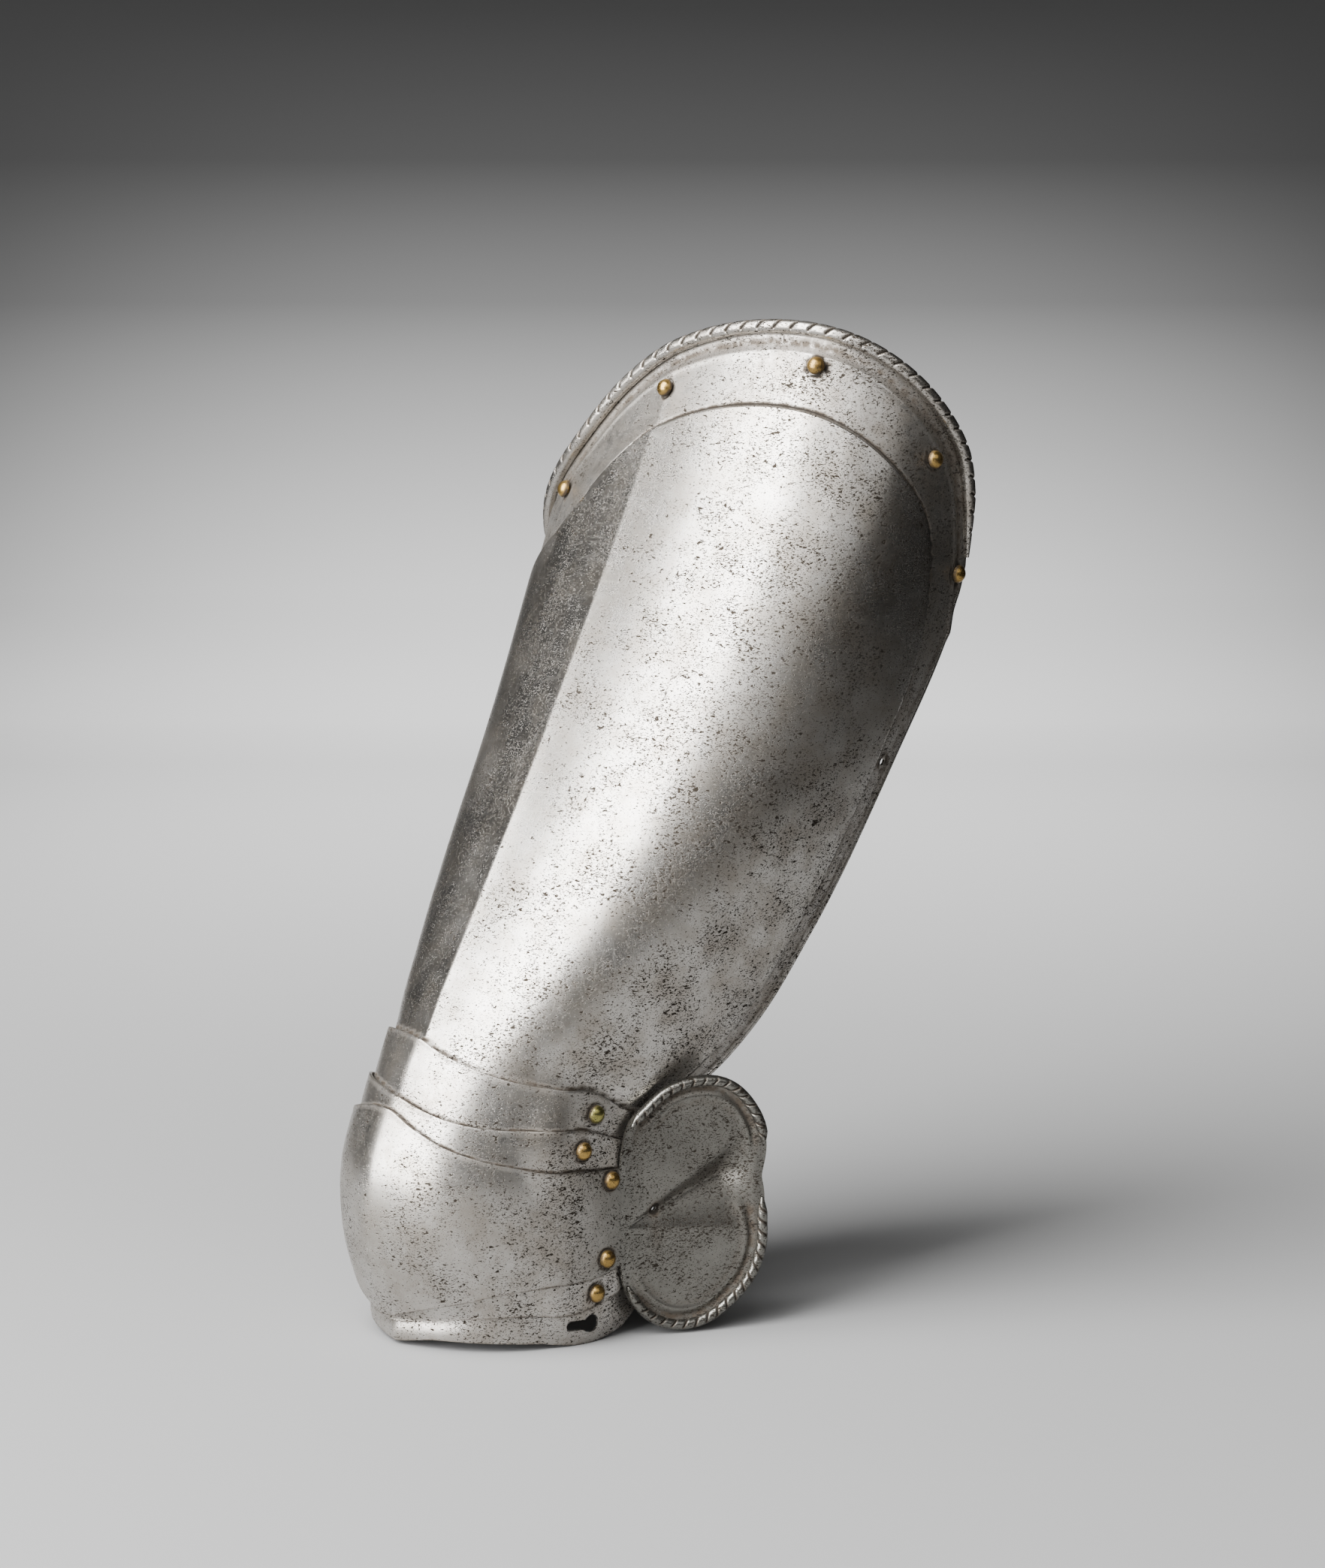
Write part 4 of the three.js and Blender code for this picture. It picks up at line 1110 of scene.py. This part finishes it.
# %% Lay the wing
def wing_place(u, v):
    angle = -180 * u
    ring = spread((v + 1) / 2, [0, 0.2, 0.4, 0.58, 0.72, 0.82, 0.9, 0.96, 1])
    back, up = wing_rim(angle, ring)
    reach = WING_HALF * curve(WING_OUTLINE, 1, angle)
    inside = (1 - ring) * reach
    rimmed = soft_step(125 - np.abs(angle), -8, 12)
    plain_edge = soft_step(angle, -12, 4) * (1 - soft_step(angle, 36, 50))
    beaded = rimmed * (1 - plain_edge)
    at_root = (1 - rimmed) * (1 - soft_step(inside, 0, 12))
    height = PLATE - (WING_SEAT - 0.03) * at_root
    height += beaded * (-0.8 * bump(inside, 6.3, 1.5) + 0.5 * bump(inside, 9.4, 1.3))
    points = wing_point(back, up, height)
    waves = hammering(points, 18, 0.3, 9) * soft_step(inside, 2, 12)
    points[:, 0] += waves * soft_step(back, 2, 14)
    stain_and_shade = beaded * (0.95 * bump(inside, 5.8, 2.0) + 0.35 * bump(inside, 12, 1.6))
    # painted shade on the V's upper wall, where the pucker's valley looks dark
    around = np.degrees(np.arctan2(up + 1.5, np.maximum(back - 2, 0.001)))
    wall = bump(around, 29, 8) * soft_step(back, 8, 20) * (1 - soft_step(back, 46, 56))
    stain_and_shade = (stain_and_shade + 0.45 * wall + 0.12) * soft_step(back, -1, 6)
    # round the wing's hole: dirt, and painted shade that stands in for the dark hole; below it a
    # rust drip
    around_hole = 2.6 * bump(np.hypot(back - HOLE_BACK, up - HOLE_UP), 0.6, 2.2)
    drip = bump(back, HOLE_BACK, 2.4) * soft_step(HOLE_UP - up, 0, 3) * bump(up, -2, 9)
    return points, stain_and_shade + around_hole + 0.6 * drip


wing_sheet = lay_grid("wing_sheet", 240, 66, wing_place)
close_seam(wing_sheet)
thicken(wing_sheet, rounded=False)
paint_shade_towards_wing(wing_sheet)
hole_point = wing_point(HOLE_BACK, np.array(HOLE_UP), 0)
cut_with(wing_sheet, round_cutter(HOLE_RADIUS, hole_point, (1, 0, 0)))
print("wing", len(wing_sheet.data.polygons), "faces")


# %% The wing's roped rim
def wing_line(start, end):
    ring = 1 - WING_ROPE_RADIUS / WING_HALF
    lift = PLATE / 2 + WING_ROPE_RADIUS * 0.45

    def rim(share):
        return wing_point(*wing_rim(start + (end - start) * share, ring), lift)

    def line(share):
        along = rim(share + 0.003) - rim(share - 0.003)
        along /= np.linalg.norm(along, axis=1, keepdims=True)
        beyond = np.cross([1, 0, 0], along)
        beyond /= np.linalg.norm(beyond, axis=1, keepdims=True)
        return rim(share), np.cross(along, beyond), beyond

    return line


wing_cuts = rope_groove(pitch=5.4, depth=0.36, width=0.09)
wing_ropes = [
    lay_bead(f"wing_rope_{name}", wing_line(*ends), 20, 0.22, WING_ROPE_RADIUS, wing_cuts)
    for name, ends in (("low", (-128, 2)), ("high", (40, 124)))
]
for rope in wing_ropes:
    paint_shade_towards_wing(rope)
for piece in (wing_sheet, *wing_ropes):
    dress(piece, STEEL, "knee_cop", "poleyn")

# %% [markdown]
# The rivets have domed brass heads and are hammered flat inside. One is made from
# a sphere: cut in half, its rim drawn down into a shank and out again into the
# burr, and its dome set to its height. The rest are copies, each with its own
# mesh.

# %% One rivet
HEAD_RADIUS = 4.2
HEAD_HEIGHT = 3.7
HEAD_CUT = 0.4
SHANK_RADIUS = 1.7
BURR_RADIUS = 2.9


def draw_rim(down, scale):
    """Extrudes the selected rim down, then scales it about the rivet's axis."""
    move = {"value": (0, 0, -down * MM)}
    bpy.ops.mesh.extrude_region_move(TRANSFORM_OT_translate=move)
    bpy.ops.transform.resize(value=(scale, scale, 1))


def make_rivet(grip):
    bpy.ops.object.select_all(action="DESELECT")
    bpy.ops.mesh.primitive_uv_sphere_add(segments=40, ring_count=24, radius=HEAD_RADIUS * MM)
    rivet = bpy.context.object
    bpy.ops.object.mode_set(mode="EDIT")
    bpy.ops.mesh.select_all(action="SELECT")
    bpy.ops.mesh.bisect(plane_co=(0, 0, HEAD_CUT * MM), plane_no=(0, 0, 1), clear_inner=True)
    draw_rim(0.35, 1.0)
    draw_rim(0.1, 0.97)
    draw_rim(0, SHANK_RADIUS / HEAD_RADIUS)
    draw_rim(grip + 0.6, 1)
    draw_rim(0, BURR_RADIUS / SHANK_RADIUS)
    draw_rim(0.5, 0.95)
    draw_rim(0.35, 0.75)
    bpy.ops.mesh.edge_face_add()
    bpy.ops.mesh.select_all(action="SELECT")
    bpy.ops.mesh.normals_make_consistent(inside=False)
    bpy.ops.object.mode_set(mode="OBJECT")
    bpy.ops.object.shade_smooth_by_angle(angle=math.radians(50))
    stain_and_shade = []
    for vertex in rivet.data.vertices:
        off_axis = vertex.co.xy.length / MM / HEAD_RADIUS
        stain_and_shade.append(soft_step(off_axis, 0.84, 0.99))
        if vertex.co.z > 0:
            vertex.co.z *= HEAD_HEIGHT / HEAD_RADIUS
    set_attribute(rivet, "stain_and_shade", stain_and_shade)
    return rivet


# %% Copy a rivet to its place
GREENISH = "pivot_1_outer"
rivet_patterns = {}


def set_rivet(name, body, middle, out, grip):
    """middle is the middle of the plates that it joins, and grip is their depth."""
    if grip not in rivet_patterns:
        rivet_patterns[grip] = make_rivet(grip)
    rivet = rivet_patterns[grip].copy()
    rivet.data = rivet_patterns[grip].data.copy()
    rivet.name = f"brass_{name}"
    bpy.context.scene.collection.objects.link(rivet)
    head = (middle - SEAT + out * (grip / 2 + 0.3)) * MM
    rivet.data.transform(Matrix.Translation(Vector(head)) @ facing(out))
    if name == GREENISH:
        set_attribute(rivet, "tarnish_and_shade", np.ones(len(rivet.data.vertices)))
    dress(rivet, BRASS, body, name)


# %% Set the rivets
# the inner and outer layer that each pivot joins, and the body it rides on
PIVOT_JOINS = [
    (0, 1, "upper_lame_1"),
    (1, 2, "upper_lame_2"),
    (2, 3, "knee_cop"),
    (2, 3, "knee_cop"),
    (1, 2, "lower_lame_1"),
]
LINING_GRIP = 3.2

for number, (inner_layer, outer_layer, body) in enumerate(PIVOT_JOINS):
    tucked = TUCK if inner_layer == 0 else 0
    inner = KNEE_HALF + inner_layer * (PLATE + SIDE_GAP) - tucked
    outer = KNEE_HALF + outer_layer * (PLATE + SIDE_GAP) + PLATE
    for side, sign in (("outer", 1), ("inner", -1)):
        middle = np.array([sign * (outer + inner) / 2, *PIVOTS[number]])
        out = np.array([sign, 0.0, 0.0])
        set_rivet(f"pivot_{number + 1}_{side}", body, middle, out, round(outer - inner, 3))
for number, (turn, below) in enumerate(LINING_RIVETS, start=1):
    at = arch_at(turn) - below / STEP
    turn = np.array(float(turn))
    middle = plate_point(0, turn, at, PLATE / 2 + cuisse_relief(turn, at))
    out = leg_normal(turn, at)
    set_rivet(f"lining_rivet_{number}", "thigh_plate", middle, out, LINING_GRIP)
for pattern in rivet_patterns.values():
    bpy.data.objects.remove(pattern)

# %% [markdown]
# The stage is a plain floor that curves up into a backdrop. Its paper is grey on
# the floor and nearly black above, and a painted glow makes it pale below and dark
# grey above, as in the photograph, fading towards the sides and the front. It is
# one profile, swept sideways.

# %% Floor and backdrop
FLOOR_WIDTH = 14
FLOOR_FRONT = -7
FLOOR_BACK = 1.6
BEND_STEPS = 12
BEND_STRIP = 0.13
WALL_HEIGHT = 3

corners = [piece.matrix_world @ Vector(c) for piece in bands.values() for c in piece.bound_box]
floor_z = min(corner.z for corner in corners)
bpy.ops.object.select_all(action="DESELECT")
bpy.ops.mesh.primitive_plane_add(size=1)
cove = bpy.context.object
cove.name = "studio_cove"
for vertex in cove.data.vertices:
    y = FLOOR_FRONT if vertex.co.y < 0 else FLOOR_BACK
    vertex.co = (vertex.co.x * FLOOR_WIDTH, y, 0)
bpy.ops.object.mode_set(mode="EDIT")
bpy.ops.mesh.select_mode(type="EDGE")
bpy.ops.mesh.select_all(action="DESELECT")
bpy.ops.object.mode_set(mode="OBJECT")
for edge in cove.data.edges:
    edge.select = all(cove.data.vertices[i].co.y > 0 for i in edge.vertices)
bpy.ops.object.mode_set(mode="EDIT")
for step in range(BEND_STEPS):
    angle = math.pi / 2 / BEND_STEPS * (step + 0.5)
    move = {"value": (0, BEND_STRIP * math.cos(angle), BEND_STRIP * math.sin(angle))}
    bpy.ops.mesh.extrude_region_move(TRANSFORM_OT_translate=move)
bpy.ops.mesh.extrude_region_move(TRANSFORM_OT_translate={"value": (0, 0, WALL_HEIGHT)})
bpy.ops.mesh.select_all(action="SELECT")
bpy.ops.mesh.normals_make_consistent(inside=False)
bpy.ops.object.mode_set(mode="OBJECT")
bpy.ops.object.shade_smooth()
cove.data.transform(Matrix.Translation((0, 0, floor_z)) @ Matrix.Rotation(AZIMUTH, 4, "Z"))
print("floor at", round(floor_z, 4))

# %% Paper that glows softly behind the object
# shares of the glow's height above the floor, and how bright the painted glow is there
GLOW_LEVELS = [(0, 0.62), (0.02, 0.74), (0.14, 0.76), (0.31, 0.46)]
GLOW_LEVELS += [(0.5, 0.16), (0.7, 0.035), (0.92, 0.002)]
GLOW_HEIGHT = 0.7
FLOOR_GREY = (0.26, 0.26, 0.26, 1)
WALL_GREY = (0.02, 0.02, 0.02, 1)
BLACK = (0, 0, 0, 1)


def along(tree, place, direction):
    """How far a place lies along a direction."""
    inputs = {0: place, 1: tuple(direction)}
    return add_node(tree, "ShaderNodeVectorMath", inputs, operation="DOT_PRODUCT").outputs["Value"]


studio_paper = bpy.data.materials.new("studio_paper")
studio_paper.use_nodes = True
tree = studio_paper.node_tree
place = object_place(tree)
height = part_of(tree, place, "Z")
inputs = {"Value": height, "From Min": floor_z, "From Max": floor_z + GLOW_HEIGHT}
risen = add_node(tree, "ShaderNodeMapRange", inputs).outputs["Result"]
glow_ramp = add_node(tree, "ShaderNodeValToRGB", {"Fac": risen})
for _ in GLOW_LEVELS[2:]:
    glow_ramp.color_ramp.elements.new(0.5)
for element, (position, tone) in zip(glow_ramp.color_ramp.elements, GLOW_LEVELS):
    element.position = position
    element.color = (tone, tone, tone, 1)
aside = math_node(tree, "ABSOLUTE", along(tree, place, picture_right))
behind = ramp(tree, along(tree, place, -towards_camera), 0.1, 1.5)
lit = times(tree, math_node(tree, "SUBTRACT", 1, ramp(tree, aside, 0.15, 1.1)), behind)
glow = mix_colours(tree, lit, BLACK, glow_ramp.outputs["Color"])
wall = largest(tree, ramp(tree, height, floor_z, floor_z + 0.1), ramp(tree, aside, 0.55, 0.8))
shader = tree.nodes["Principled BSDF"]
tree.links.new(mix_colours(tree, wall, FLOOR_GREY, WALL_GREY), shader.inputs["Base Color"])
tree.links.new(glow, shader.inputs["Emission Color"])
shader.inputs["Emission Strength"].default_value = 1.5
shader.inputs["Roughness"].default_value = 0.9
cove.data.materials.append(studio_paper)
print("paper", len(tree.nodes), "nodes")

# %% [markdown]
# Polished steel shows the room, so the lights are large panels: the long bright
# bands on the plates are their reflections. The key stands high in front for
# the thigh, a low one does the same for the knee, and two weak ones towards the
# outer side let the light fade slowly there.

# %% Lights
# azimuth, elevation, distance, width, height and watts
PANELS = {
    "key_panel": (-9, 50, 1.8, 1.25, 1.5, 118),
    "soft_panel": (31, 46, 2.2, 1.6, 1.4, 24),
    "side_panel": (80, 40, 2.2, 1.8, 1.4, 10),
    "knee_panel": (-4, 12, 2.2, 1.7, 1.4, 134),
}

for name, (azimuth, elevation, distance, width, height, power) in PANELS.items():
    data = bpy.data.lights.new(name, "AREA")
    data.shape = "RECTANGLE"
    data.size = width
    data.size_y = height
    data.energy = power
    light = bpy.data.objects.new(name, data)
    bpy.context.scene.collection.objects.link(light)
    outward = toward(math.radians(azimuth), math.radians(elevation))
    light.matrix_world = Matrix.Translation(outward * distance) @ facing(outward)
room = bpy.data.worlds.new("room")
room.use_nodes = True
room.node_tree.nodes["Background"].inputs["Color"].default_value = (0.5, 0.5, 0.5, 1)
room.node_tree.nodes["Background"].inputs["Strength"].default_value = 0.09
bpy.context.scene.world = room
